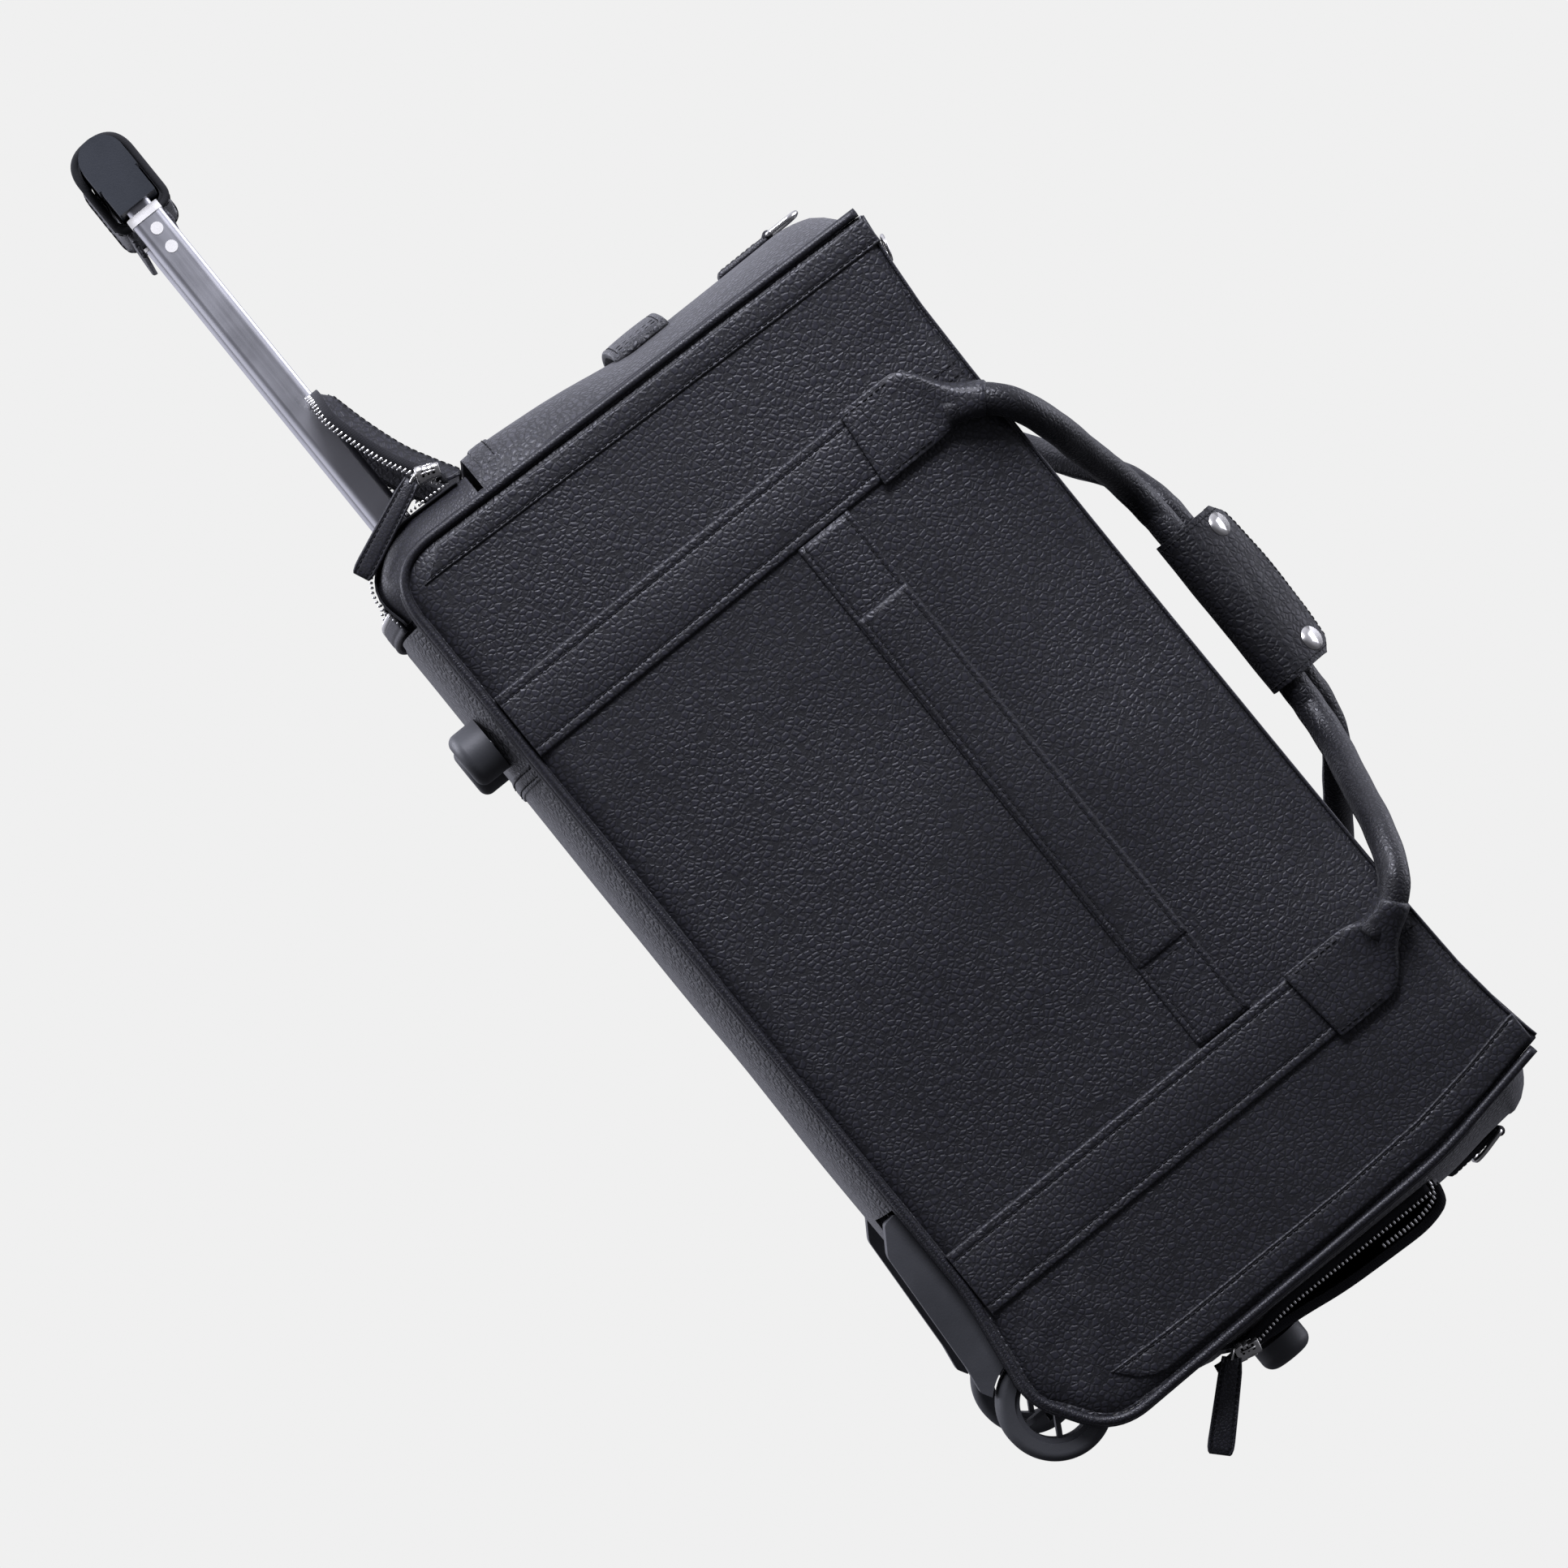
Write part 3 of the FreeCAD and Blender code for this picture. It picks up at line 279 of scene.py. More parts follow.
def build(name, verts, faces, mat, body, stands_for=(), thick=0.0, offset=-1.0):
    """One visible piece, given a thickness and rolled edges if it is a sheet."""
    mesh = bpy.data.meshes.new(name)
    mesh.from_pydata([at(*v) for v in verts], [], faces)
    mesh.materials.append(MATS[mat])
    mesh.polygons.foreach_set("use_smooth", [True] * len(mesh.polygons))
    made = bpy.data.objects.new(name, mesh)
    bpy.context.scene.collection.objects.link(made)
    if thick:
        shell = made.modifiers.new("thickness", "SOLIDIFY")
        shell.thickness = thick / 1000
        shell.offset = offset
        edge = made.modifiers.new("edge", "BEVEL")
        edge.width = min(0.0006, thick / 4000)
        edge.segments = 2
        edge.limit_method = "ANGLE"
        edge.angle_limit = 1.0
    if body:
        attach(made, body)
    if stands_for:
        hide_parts(*stands_for)
    return made


def recalc(made):
    """Points the faces outwards."""
    bm = bmesh.new()
    bm.from_mesh(made.data)
    bmesh.ops.recalc_face_normals(bm, faces=bm.faces)
    bm.to_mesh(made.data)
    bm.free()
    return made


def quads(rows, n):
    """Faces between neighbouring rings of n points each."""
    return [(i * n + j, i * n + (j + 1) % n, (i + 1) * n + (j + 1) % n, (i + 1) * n + j)
            for i in range(rows - 1) for j in range(n)]


def grid(fn, us, vs, round_v=False, keep=None):
    """Vertices and faces of a surface fn(u, v); round_v joins the last column to the first."""
    verts = [fn(u, v) for u in us for v in vs]
    n = len(vs)
    faces = []
    for i in range(len(us) - 1):
        for j in range(n if round_v else n - 1):
            k = (j + 1) % n
            if keep is None or keep((us[i] + us[i + 1]) / 2, (vs[j] + vs[k]) / 2):
                faces.append((i * n + j, i * n + k, (i + 1) * n + k, (i + 1) * n + j))
    return verts, faces


def span(a, b, n):
    return [a + (b - a) * i / n for i in range(n + 1)]


def caps(rows, n):
    """End faces for a closed tube of rows rings with n points each."""
    return [tuple(range(n - 1, -1, -1)), tuple((rows - 1) * n + i for i in range(n))]


def spline(points, n):
    """A smooth curve through the points."""
    p = [np.array(q, float) for q in points]
    p = [2 * p[0] - p[1]] + p + [2 * p[-1] - p[-2]]
    out = []
    for i in range(1, len(p) - 2):
        for j in range(n):
            t = j / n
            a = 2 * p[i]
            b = (p[i + 1] - p[i - 1]) * t
            c = (2 * p[i - 1] - 5 * p[i] + 4 * p[i + 1] - p[i + 2]) * t * t
            d = (3 * p[i] - p[i - 1] - 3 * p[i + 1] + p[i + 2]) * t ** 3
            out.append((a + b + c + d) / 2)
    out.append(p[-2])
    return out


def surface(name, fn, us, vs, mat, stands_for=(), body="bag", round_v=False, keep=None, **shell):
    """A sheet of leather or cloth over a surface fn(u, v)."""
    verts, faces = grid(fn, us, vs, round_v, keep)
    return build(name, verts, faces, mat, body, stands_for, **shell)


def mirrored(middle, edge):
    """Even steps in the middle and closer ones towards both edges."""
    return [-v for v in reversed(edge)] + middle + edge


def along_curve(curve, k):
    """The point k steps along a curve and the curve's direction there."""
    last = len(curve) - 1
    i = min(int(k), last - 1)
    return curve[i] * (1 - (k - i)) + curve[i + 1] * (k - i), curve[min(i + 1, last)] - curve[max(i - 1, 0)]


def sweep(path, section, up=(0, 1, 0)):
    """Sweeps section(i) = [(across, out), ...] along path; up is the rough direction of out."""
    path = [np.array(p, float) for p in path]
    verts = []
    for i, p in enumerate(path):
        along = path[min(i + 1, len(path) - 1)] - path[max(i - 1, 0)]
        along /= np.linalg.norm(along)
        out = np.array(up, float) - along * np.dot(up, along)
        out /= np.linalg.norm(out)
        across = np.cross(along, out)
        verts += [p + across * a + out * h for a, h in section(i)]
    n = len(section(0))
    return verts, quads(len(path), n) + caps(len(path), n)


def circle(radius, n=14, flat=1.0):
    turns = [2 * math.pi * i / n for i in range(n)]
    return [(radius * math.cos(turn), radius * flat * math.sin(turn)) for turn in turns]


def rounded(points, spacing=4.0):
    """A dense closed outline from (x, z, corner radius) points."""
    out = []
    n = len(points)
    for i in range(n):
        p = np.array(points[i][:2], float)
        a = np.array(points[i - 1][:2], float) - p
        b = np.array(points[(i + 1) % n][:2], float) - p
        la, lb = np.linalg.norm(a), np.linalg.norm(b)
        a, b = a / la, b / lb
        angle = math.acos(max(-1.0, min(1.0, float(np.dot(a, b)))))
        reach = min(points[i][2] / math.tan(angle / 2), la * 0.49, lb * 0.49)
        first, last = p + a * reach, p + b * reach
        steps = max(2, int(reach * 2 / spacing) + 2)
        for j in range(steps + 1):
            t = j / steps
            out.append((1 - t) ** 2 * first + 2 * t * (1 - t) * p + t * t * last)
    dense = []
    for i, p in enumerate(out):
        q = out[(i + 1) % len(out)]
        k = max(1, int(np.linalg.norm(q - p) / spacing))
        dense += [p + (q - p) * j / k for j in range(k) if np.linalg.norm(q - p) > 1e-6]
    return np.array(dense)


EDGE = rounded(OUTLINE)


def edge_distance(x, z):
    """Nearest outline point and its distance."""
    a, b = EDGE, np.roll(EDGE, -1, axis=0)
    p = np.array((x, z))
    d = b - a
    t = np.clip(((p - a) * d).sum(1) / np.maximum((d * d).sum(1), 1e-9), 0, 1)
    near = a + d * t[:, None]
    gap = np.hypot(*(near - p).T)
    i = int(gap.argmin())
    return near[i], float(gap[i])


def inside(x, z):
    a, b = EDGE, np.roll(EDGE, -1, axis=0)
    crossing = (a[:, 1] > z) != (b[:, 1] > z)
    with np.errstate(divide="ignore", invalid="ignore"):
        at_x = (b[:, 0] - a[:, 0]) * (z - a[:, 1]) / (b[:, 1] - a[:, 1]) + a[:, 0]
    return bool((crossing & (x < at_x)).sum() % 2)


class Batch:
    """Many small closed beads, such as stitches or zip teeth, gathered into one mesh."""

    def __init__(self):
        self.verts = []
        self.faces = []

    def bead(self, centre, along, out, length, width, height, square=False):
        along = np.array(along, float)
        along /= np.linalg.norm(along)
        out = np.array(out, float)
        out = out - along * np.dot(out, along)
        out /= np.linalg.norm(out)
        side = np.cross(along, out)
        rings = ((-0.5, 0.8), (-0.42, 1.0), (0.42, 1.0), (0.5, 0.8)) if square else (
            (-0.5, 0.35), (-0.36, 0.85), (0.0, 1.0), (0.36, 0.85), (0.5, 0.35))
        n = 8 if square else 6
        start = len(self.verts)
        for s, r in rings:
            for i in range(n):
                angle = 2 * math.pi * (i + 0.5) / n
                a, h = math.cos(angle), math.sin(angle)
                if square:
                    big = max(abs(a), abs(h))
                    a, h = a / big, h / big
                    if abs(a) > 0.9 and abs(h) > 0.9:
                        a, h = a * 0.85, h * 0.85
                self.verts.append(np.array(centre) + along * s * length + side * a * r * width / 2
                                  + out * h * r * height / 2)
        self.faces += [tuple(start + v for v in face) for face in quads(len(rings), n) + caps(len(rings), n)]


BATCHES = {}


def batch(name):
    return BATCHES.setdefault(name, Batch())


def walk(points, pitch):
    """Places every pitch along a line of points: (centre, direction)."""
    p = [np.array(q, float) for q in points]
    lengths = [0.0]
    for a, b in zip(p, p[1:]):
        lengths.append(lengths[-1] + float(np.linalg.norm(b - a)))
    total = lengths[-1]
    count = max(1, int(total / pitch))
    out = []
    k = 0
    for i in range(count):
        s = (i + 0.5) * total / count
        while k < len(p) - 2 and lengths[k + 1] < s:
            k += 1
        t = (s - lengths[k]) / max(lengths[k + 1] - lengths[k], 1e-9)
        out.append((p[k] + (p[k + 1] - p[k]) * t, p[k + 1] - p[k]))
    return out


def stitch(points, out, where="bag_thread", pitch=3.5, length=2.7, width=0.75, lift=0.12):
    """A row of thread stitches along points; out is the surface's outward direction."""
    for centre, along in walk(points, pitch):
        direction = np.array(out(centre) if callable(out) else out, float)
        batch(where).bead(centre + direction * lift, along, direction, length, width, 0.7)


def teeth(where, points, out, inward, pitch=2.4, depth=3.0, height=1.7):
    """A row of metal zip teeth along points, each reaching inward across the tape's edge."""
    for centre, along in walk(points, pitch):
        across = np.array(inward(centre) if callable(inward) else inward, float)
        direction = np.array(out(centre) if callable(out) else out, float)
        batch(where).bead(centre, across, direction, depth, 1.25, height, square=True)


# ------------------------------------------------------------------ the big panels

def face_depth(x, z):
    """How far the front or back leather stands from the bag's middle plane."""
    pull = max(0.0, 1.0 - (abs(x - 7) / 215) ** 2)
    strap = max(math.exp(-((x - s) / 34) ** 2) for s in STRAPS)
    lean = 9.5 * pull * (1 - 0.65 * strap) * ease(222, 308, z) ** 1.3
    puff = 1.6 * math.exp(-((x - 8) / 130) ** 2) * math.exp(-((z - 110) / 75) ** 2)
    soft = 0.9 * wobble(x, 0, z, 95, 3.1) + 0.35 * wobble(x, 0, z, 38, 7.7)
    crumple = math.exp(-((x - 222) / 34) ** 2 - ((z - 62) / 34) ** 2)
    folds = crumple * 1.1 * math.sin((x * 0.5 + z) / 5.5 + 2 * wobble(x, 1, z, 22))
    return DEPTH - lean + puff + soft + folds


def on_face(side, x, z, h=0.0):
    return (x, side * (face_depth(x, z) + h), z)


def panel(side, name, stands_for):
    """One big leather panel, cut to the outline, its rim rolled in towards the piping."""
    step = 3.6
    (x0, z0), (x1, z1) = EDGE.min(0), EDGE.max(0)
    xs = [x0 + step * i for i in range(int((x1 - x0) / step) + 2)]
    zs = [z0 + step * i for i in range(int((z1 - z0) / step) + 2)]
    cells = [(i, j) for i in range(len(xs) - 1) for j in range(len(zs) - 1)
             if inside(xs[i] + step / 2, zs[j] + step / 2)]
    uses = {}
    for i, j in cells:
        for c in ((i, j), (i + 1, j), (i + 1, j + 1), (i, j + 1)):
            uses[c] = uses.get(c, 0) + 1
    index, verts = {}, []
    for c, count in uses.items():
        x, z = xs[c[0]], zs[c[1]]
        near, gap = edge_distance(x, z)
        if count < 4:
            (x, z), gap = near, 0.0
        roll = 2.6 * (1 - ease(0.0, 7.0, gap))
        index[c] = len(verts)
        verts.append((x, side * (face_depth(x, z) - roll), z))
    faces = []
    for i, j in cells:
        quad = tuple(index[c] for c in ((i, j), (i + 1, j), (i + 1, j + 1), (i, j + 1)))
        faces.append(quad if side < 0 else quad[::-1])
    return build(name, verts, faces, "leather", "bag", stands_for, thick=1.8)


panel(-1, "front_leather", ["front_panel"])
panel(1, "back_leather", ["back_panel"])


# ------------------------------------------------------------------ strips sewn on the leather

def profile(width, thick, grooves=(), round_edge=1.3, puff=0.0):
    """The cross-section of a sewn strip: (across, height) with rolled edges and dips at its stitch lines."""
    half = width / 2
    spots = {0.0, half, -half}
    for g in (0.15, 0.4, 0.8, 1.3):
        spots |= {half - g, g - half}
    for g in grooves:
        spots |= {g + d for d in (-1.6, -0.9, -0.4, 0.0, 0.4, 0.9, 1.6)}
    if puff:
        spots |= {half * t for t in (-0.75, -0.5, -0.25, 0.25, 0.5, 0.75)}
    line = []
    for a in sorted(s for s in spots if abs(s) <= half):
        d = min(half - abs(a), round_edge) / round_edge
        h = thick * (0.25 + 0.75 * math.sqrt(max(0.0, 1 - (1 - d) ** 2)))
        h += puff * (1 - (a / half) ** 2)
        h -= sum(0.45 * math.exp(-((a - g) / 0.7) ** 2) for g in grooves)
        line.append((a, h))
    return [(-half, -0.6)] + line + [(half, -0.6)]


def strip(name, fn, runs, section, mat, body="bag", stands_for=(), ends=(True, True)):
    """A strip along runs: fn(s, across, height) places each point; its ends are rolled down."""
    steps = [(s, 1.0) for s in runs]
    first, last = runs[0], runs[-1]
    way = 1 if last > first else -1
    if ends[0]:
        steps = [(first, 0.25), (first + 0.3 * way, 0.7), (first + 1.0 * way, 0.95)] + [
            q for q in steps if (q[0] - first) * way > 1.2]
    if ends[1]:
        steps = [q for q in steps if (last - q[0]) * way > 1.2] + [
            (last - 1.0 * way, 0.95), (last - 0.3 * way, 0.7), (last, 0.25)]
    verts = []
    for s, share in steps:
        verts += [fn(s, a, h * share if h > 0 else h) for a, h in section]
    n = len(section)
    return recalc(build(name, verts, quads(len(steps), n) + caps(len(steps), n), mat, body, stands_for))


def line_on(side, points, h):
    return [on_face(side, x, z, h) for x, z in points]


def sewn_strips(side, word):
    out = (0, side, 0)
    for k, x0 in enumerate(STRAPS):
        name = f"{word}_strap_{k + 1}"
        strip(name, lambda s, a, h: on_face(side, x0 + a, s, h), span(31.0, 276, 70),
              profile(36, 2.1, (-13.2, 13.2)), "leather", stands_for=["straps"])
        for a in (-13.2, 13.2):
            stitch(line_on(side, [(x0 + a, z) for z in span(33, 240, 60)], 1.75), out)
        for a in (-3.0, 3.0):
            stitch(line_on(side, [(x0 + a - 2, z) for z in span(289, 304, 6)], 0.1), out)
    left, right = STRAPS[0] + 18.2, STRAPS[1] - 18.2
    strip(f"{word}_cross_band", lambda s, a, h: on_face(side, s, BAND_Z + a, h), span(left, right, 80),
          profile(31, 1.9, (-12.3, 12.3)), "leather", stands_for=["cross_bands"], ends=(False, False))
    pad = strip(f"{word}_pad", lambda s, a, h: on_face(side, s, BAND_Z + 0.2 + a, h + 1.2),
                span(-101, 112, 60), profile(29.6, 1.7, (-11.8, 11.8), puff=0.8), "leather")
    for a in (-12.3, 12.3):
        for first, last in ((left + 1, -102), (113, right - 1)):
            stitch(line_on(side, [(x, BAND_Z + a) for x in span(first, last, 10)], 1.5), out)
        stitch(line_on(side, [(x, BAND_Z + 0.2 + a * 0.96) for x in span(-99, 110, 40)], 2.7), out)
    for x in (-104.5, -98.0, 106.5, 115.0):
        lift = 1.7 if x in (-104.5, 115.0) else 2.9
        stitch(line_on(side, [(x, z) for z in span(BAND_Z - 11, BAND_Z + 11, 6)], lift), out)
    bands(side, word, out)


def bands(side, word, out):
    """The reinforcing strips along both ends of a panel."""
    def left(s, a, h):
        edge = np.interp(s, [38, 52, 308], [-243 - 6, -254.0, -248.5])
        inner = np.interp(s, [38, 305], [-243.0, -234.5])
        lean = (a - 6) * (1 - ease(38, 60, s)) * -0.9
        return on_face(side, edge + (inner - edge) * (a / 12 + 0.5), s + lean, h)

    def right(s, a, h):
        edge = np.interp(s, [56, 80, 200, 245, 280, 310], [262, 267.5, 266.5, 265.0, 260.5, 254.5])
        inner = np.interp(s, [56, 100, 200, 245, 280, 310], [251, 252.5, 252.5, 250.5, 245.5, 239.5])
        lean = (a + 6) * (1 - ease(56, 76, s)) * 0.8
        return on_face(side, inner + (edge - inner) * (a / 12 + 0.5), s + lean, h)

    strip(f"{word}_end_band_1", left, span(39, 311, 70), profile(12, 1.3, (4.4,)), "leather",
          stands_for=["end_bands"])
    strip(f"{word}_end_band_2", right, span(57, 313, 70), profile(12, 1.3, (-4.4,)), "leather")
    stitch([left(s, 4.4, 1.0) for s in span(42, 308, 70)], out)
    stitch([right(s, -4.4, 1.0) for s in span(60, 309, 70)], out)
    stitch([left(42, a, 1.0) for a in span(-4.5, 4.4, 5)], out)


sewn_strips(-1, "front")
sewn_strips(1, "back")


# ------------------------------------------------------------------ piping and the lofted ends

def run_of(first, last, grow=0.0, short=False):
    """The part of the outline between two points, grown outwards: by the bottom, or the short way."""
    i = int(np.hypot(*(EDGE - first).T).argmin())
    j = int(np.hypot(*(EDGE - last).T).argmin())
    n = len(EDGE)
    count = (j - i) % n
    picked = [EDGE[(i + k) % n] for k in range(count + 1)]
    back = [EDGE[(i - k) % n] for k in range((i - j) % n + 1)]
    if (len(back) < len(picked)) if short else (min(p[1] for p in back) < min(p[1] for p in picked)):
        picked = back
    out = []
    for k, p in enumerate(picked):
        d = picked[min(k + 1, len(picked) - 1)] - picked[max(k - 1, 0)]
        d = d / np.linalg.norm(d)
        normal = np.array((d[1], -d[0]))
        out.append((p + normal * grow, normal))
    return out


def swept(name, path, section, up, mat, body="bag", stands_for=()):
    """A closed piece with the same cross-section, or section(i), all along its path."""
    verts, faces = sweep(path, section if callable(section) else lambda i: section, up)
    return recalc(build(name, verts, faces, mat, body, stands_for))


def tube_along(name, points, radius, mat, body="bag", stands_for=(), n=12, up=(0, 1, 0)):
    swept(name, points, circle(radius, n), up, mat, body, stands_for)


def lining():
    """The cloth inside, a loose sleeve that follows the leather."""
    xs = span(-240, 249, 40)
    ring = [(x, -1) for x in xs] + [(x, 1) for x in reversed(xs)]

    def fn(z, k):
        x, side = ring[int(k)]
        return (x, side * (face_depth(x, z) - 4.0), z)
    surface("lining_cloth", fn, span(70, 300, 24), range(len(ring)), "lining", ["lining"], round_v=True,
            thick=0.7)


lining()


def piping(side, word):
    """The corded edge of a panel and the soft roll of leather that shows below it."""
    line = run_of(LEFT_TOP, RIGHT_TOP, 2.3)
    points = [(p[0], side * (HALF + 0.2 + 0.25 * wobble(p[0], side, p[1], 40)), p[1]) for p, _ in line]
    tube_along(f"{word}_piping", points, 2.35, "trim", stands_for=["piping"])
    low = [p + normal for p, normal in line if p[1] < 268]
    points = [(x, side * 113.2, z) for x, z in low]
    tube_along(f"{word}_under_roll", points, 2.5, "trim")


piping(-1, "front")
piping(1, "back")


def resample(points, spacing):
    line = walk([(p[0], 0, p[1]) for p in points], spacing)
    return [np.array((c[0], c[2])) for c, _ in line]


class Loft:
    """A bulging sheet between the two big panels, along a run of the outline."""

    def __init__(self, points, bulge, square, twist=None):
        self.points = points
        self.bulge = bulge
        self.square = square
        self.twist = twist

    def place(self, u, y, lift=0.0):
        """Point u along the run (in steps), y across, lifted outwards."""
        i = int(min(max(u, 0), len(self.points) - 1.001))
        t = min(u, len(self.points) - 1) - i
        p = self.points[i] * (1 - t) + self.points[i + 1] * t
        a, b = self.points[max(i - 1, 0)], self.points[min(i + 2, len(self.points) - 1)]
        d = (b - a) / np.linalg.norm(b - a)
        normal = np.array((d[1], -d[0]))
        share = 1 - (abs(y) / HALF) ** self.square(p)
        q = p + normal * (self.bulge(p) * share + lift)
        if self.twist:
            q = self.twist(p, y, q)
        soft = 0.7 * wobble(q[0], y, q[1], 60, 5.0) * share
        return (q[0] + normal[0] * soft, y, q[1] + normal[1] * soft)

    def near(self, x, z):
        gaps = [np.hypot(p[0] - x, p[1] - z) for p in self.points]
        return float(np.argmin(gaps))


def top_z(y):
    return 313.2 - 10.4 * (abs(y) / HALF) ** 2.6


def over_the_top(first_z, last_z, middle, side_end):
    """Rounds the top of an end panel over onto the bag's top; middle = its (x, z) points at y = 0."""
    shares = [i / (len(middle) - 1) for i in range(len(middle))]

    def twist(p, y, q):
        s = min(max((p[1] - first_z) / (last_z - first_z), 0.0), 1.0)
        if s == 0.0:
            return q
        goal = np.array([np.interp(s, shares, [m[k] for m in middle]) for k in (0, 1)])
        edge = p + (np.array(side_end) - p) * ease(0.45, 1.0, s)
        share = 1 - (abs(y) / HALF) ** 2.4
        return q + (edge + (goal - edge) * share - q) * ease(0.0, 0.25, s)
    return twist


def fine_rows(loft, first):
    """Rows of a loft: every point, then every third of a step from first on."""
    last = len(loft.points) - 1
    return list(range(first)) + span(first, last, (last - first) * 3)


def base_bulge(p):
    """How far the base hangs below its outline, or the wheel end stands beyond it."""
    if p[0] > 200 and p[1] > 50:
        heights = [50, 58, 100, 246, 270, 292, 305]
        return float(np.interp(p[1], heights, [1.2, 1.2, 16.0, 22.6, 23.0, 25.0, 21.0]))
    return 14.6 * (1 - ease(150, 226, p[0])) + 1.2


bottom = [p for p, _ in run_of((-234, 30), (258, 305))]
WHEEL_END_TOP = [(288, 285), (286.5, 292), (283, 299), (277.5, 305), (269, 309.8), (259, 312.2), (248, 312.4)]
base_loft = Loft(
    resample(bottom, 4.0),
    base_bulge,
    lambda p: 7.0 - 4.6 * ease(50, 100, p[1]),
    over_the_top(285.0, 303.5, WHEEL_END_TOP, (250.0, 303.4)))
ys = mirrored(span(-80, 80, 20), [84.5, 88, 94, 100, 106, 110, 113, 115, 117, HALF])


def clear_of_wheels(u, y):
    x, _, z = base_loft.place(u, y)
    near_wheel = 84.0 < abs(y) < 113.0
    over = near_wheel and 128 < x and z < 42
    return not over and not (near_wheel and math.hypot(x - 247, z - 28) < 33.5)


rows = fine_rows(base_loft, len(base_loft.points) - 8)
surface("base_and_wheel_end", base_loft.place, rows, ys, "lit_end_leather", ["base_panel", "wheel_end_panel"],
        keep=clear_of_wheels, thick=1.8)
left_side = [p for p, _ in run_of((-258, 88), (-250.6, 312), short=True)]
if left_side[0][1] > left_side[-1][1]:
    left_side = left_side[::-1]


def outward(points):
    """The same run ordered so that its normals point away from the bag."""
    d = points[-1] - points[0]
    normal = np.array((d[1], -d[0]))
    return points if np.dot(normal, points[0] - np.array((0, 150.0))) > 0 else points[::-1]


HANDLE_END_TOP = [(-275.5, 282), (-274, 290), (-271, 299), (-266, 305), (-259, 310), (-252, 312.0),
                  (-244, 312.4)]
end_loft = Loft(
    outward(resample(left_side, 4.0)),
    lambda p: float(np.interp(p[1], [88, 99, 190, 282, 310], [25.0, 26.0, 21.5, 23.8, 20.0])),
    lambda p: 2.4 + 9.0 * (1 - ease(87, 190, p[1])),
    over_the_top(282.0, 309.5, HANDLE_END_TOP, (-247.5, 303.8)))
surface("handle_end_leather", end_loft.place, span(0, len(end_loft.points) - 1, 2 * len(end_loft.points)), ys,
        "lit_end_leather", ["handle_end_panel"], thick=1.8)

corner = [p for p, _ in run_of((-258, 87), (-234, 30), short=True)]
corner_loft = Loft(outward(resample(corner, 2.5)), lambda p: 21.5 - 5.5 * ease(-250, -234, p[0]),
                   lambda p: 12.0 - 5.0 * ease(-250, -234, p[0]))
for side in (-1, 1):
    surface(f"compartment_edge_{side + 2}", corner_loft.place, list(range(len(corner_loft.points))),
            [side * v for v in (HALF, 116, 113, 110, 107, 105.5)], "trim",
            ["compartment_strips"] if side < 0 else [], thick=1.8)


def band_across(name, loft, u, width, thick, grooves, y_end=112.0):
    """A seam or strip that crosses an end or the base from side to side."""
    strip(name, lambda s, a, h: loft.place(u + a / 4.0, s, h), span(-y_end, y_end, 44),
          profile(width, thick, grooves), "lit_end_leather")
    for g in grooves:
        row = [loft.place(u + g / 4.0, y, thick * 0.8) for y in span(-y_end + 1, y_end - 1, 44)]
        stitch(row, (-0.5, 0, -0.8) if loft is not base_loft or u < 110 else (1, 0, 0))


for k, x in enumerate((-143.0, 168.0)):
    band_across(f"base_seam_{k + 1}", base_loft, base_loft.near(x, 31), 10, 0.9, (-2.6, 2.6),
                y_end=112.0 if k == 0 else 83.0)
hinge_row = 2.6 if end_loft.points[0][1] < 150 else len(end_loft.points) - 3.6
band_across("hinge_band", end_loft, hinge_row, 11, 1.0, (-3.4,), y_end=110)


# ------------------------------------------------------------------ top and main zip

def top_sheet(side):
    """Half of the top: from the zip out to a side, sagging in its middle and rising to its corners."""
    def fn(x, t):
        start = face_depth(x, 306) - 1.5
        y = 14.5 + (start - 14.5) * t
        rise = 306.0 + 2.0 * ease(190, 250, x) + 3.0 * ease(-215, -250, x)
        z = top_z(y * HALF / start) + (rise - top_z(HALF)) * t ** 6
        z += -1.6 * math.exp(-((x - 8) / 120) ** 2) * t + 0.6 * wobble(x, y, 0, 70, 9.0)
        return (x, side * y, z)
    recalc(surface("top_leather_front" if side < 0 else "top_leather_back", fn, span(-245.5, 250.5, 100),
                   [i / 18 for i in range(19)], "leather", ["top_panels"] if side < 0 else [], thick=1.8))
    stitch([(x, side * 17.5, top_z(17.5) + 0.5) for x in span(-243, 248, 60)], (0, 0, 1))
    rim = [(x, side * (face_depth(x, 306) - 1.4), z) for x, z in rim_top()]
    tube_along(f"top_edge_{side + 2}", rim, 0.85, "trim", n=8, up=(0, 0, 1))


def rim_top():
    """The rolled edge between a side and the top, which rises towards both ends."""
    stops = [-249.5, -225, -200, -160, 170, 205, 235, 255]
    heights = [311.6, 308.6, 306.6, 305.9, 307.2, 308.4, 311.5, 315.6]
    return [(x, float(np.interp(x, stops, heights))) for x in span(stops[0], stops[-1], 110)]


top_sheet(-1)
top_sheet(1)


def zip_z(x):
    """Height of the main zip's tape, which runs on over the rounded tops of both ends."""
    return float(np.interp(x, [-264, -256, -248, -240, 244, 252, 259, 265, 271],
                           [307.6, 311.6, 313.0, 312.6, 312.6, 313.2, 313.0, 311.9, 309.6]))


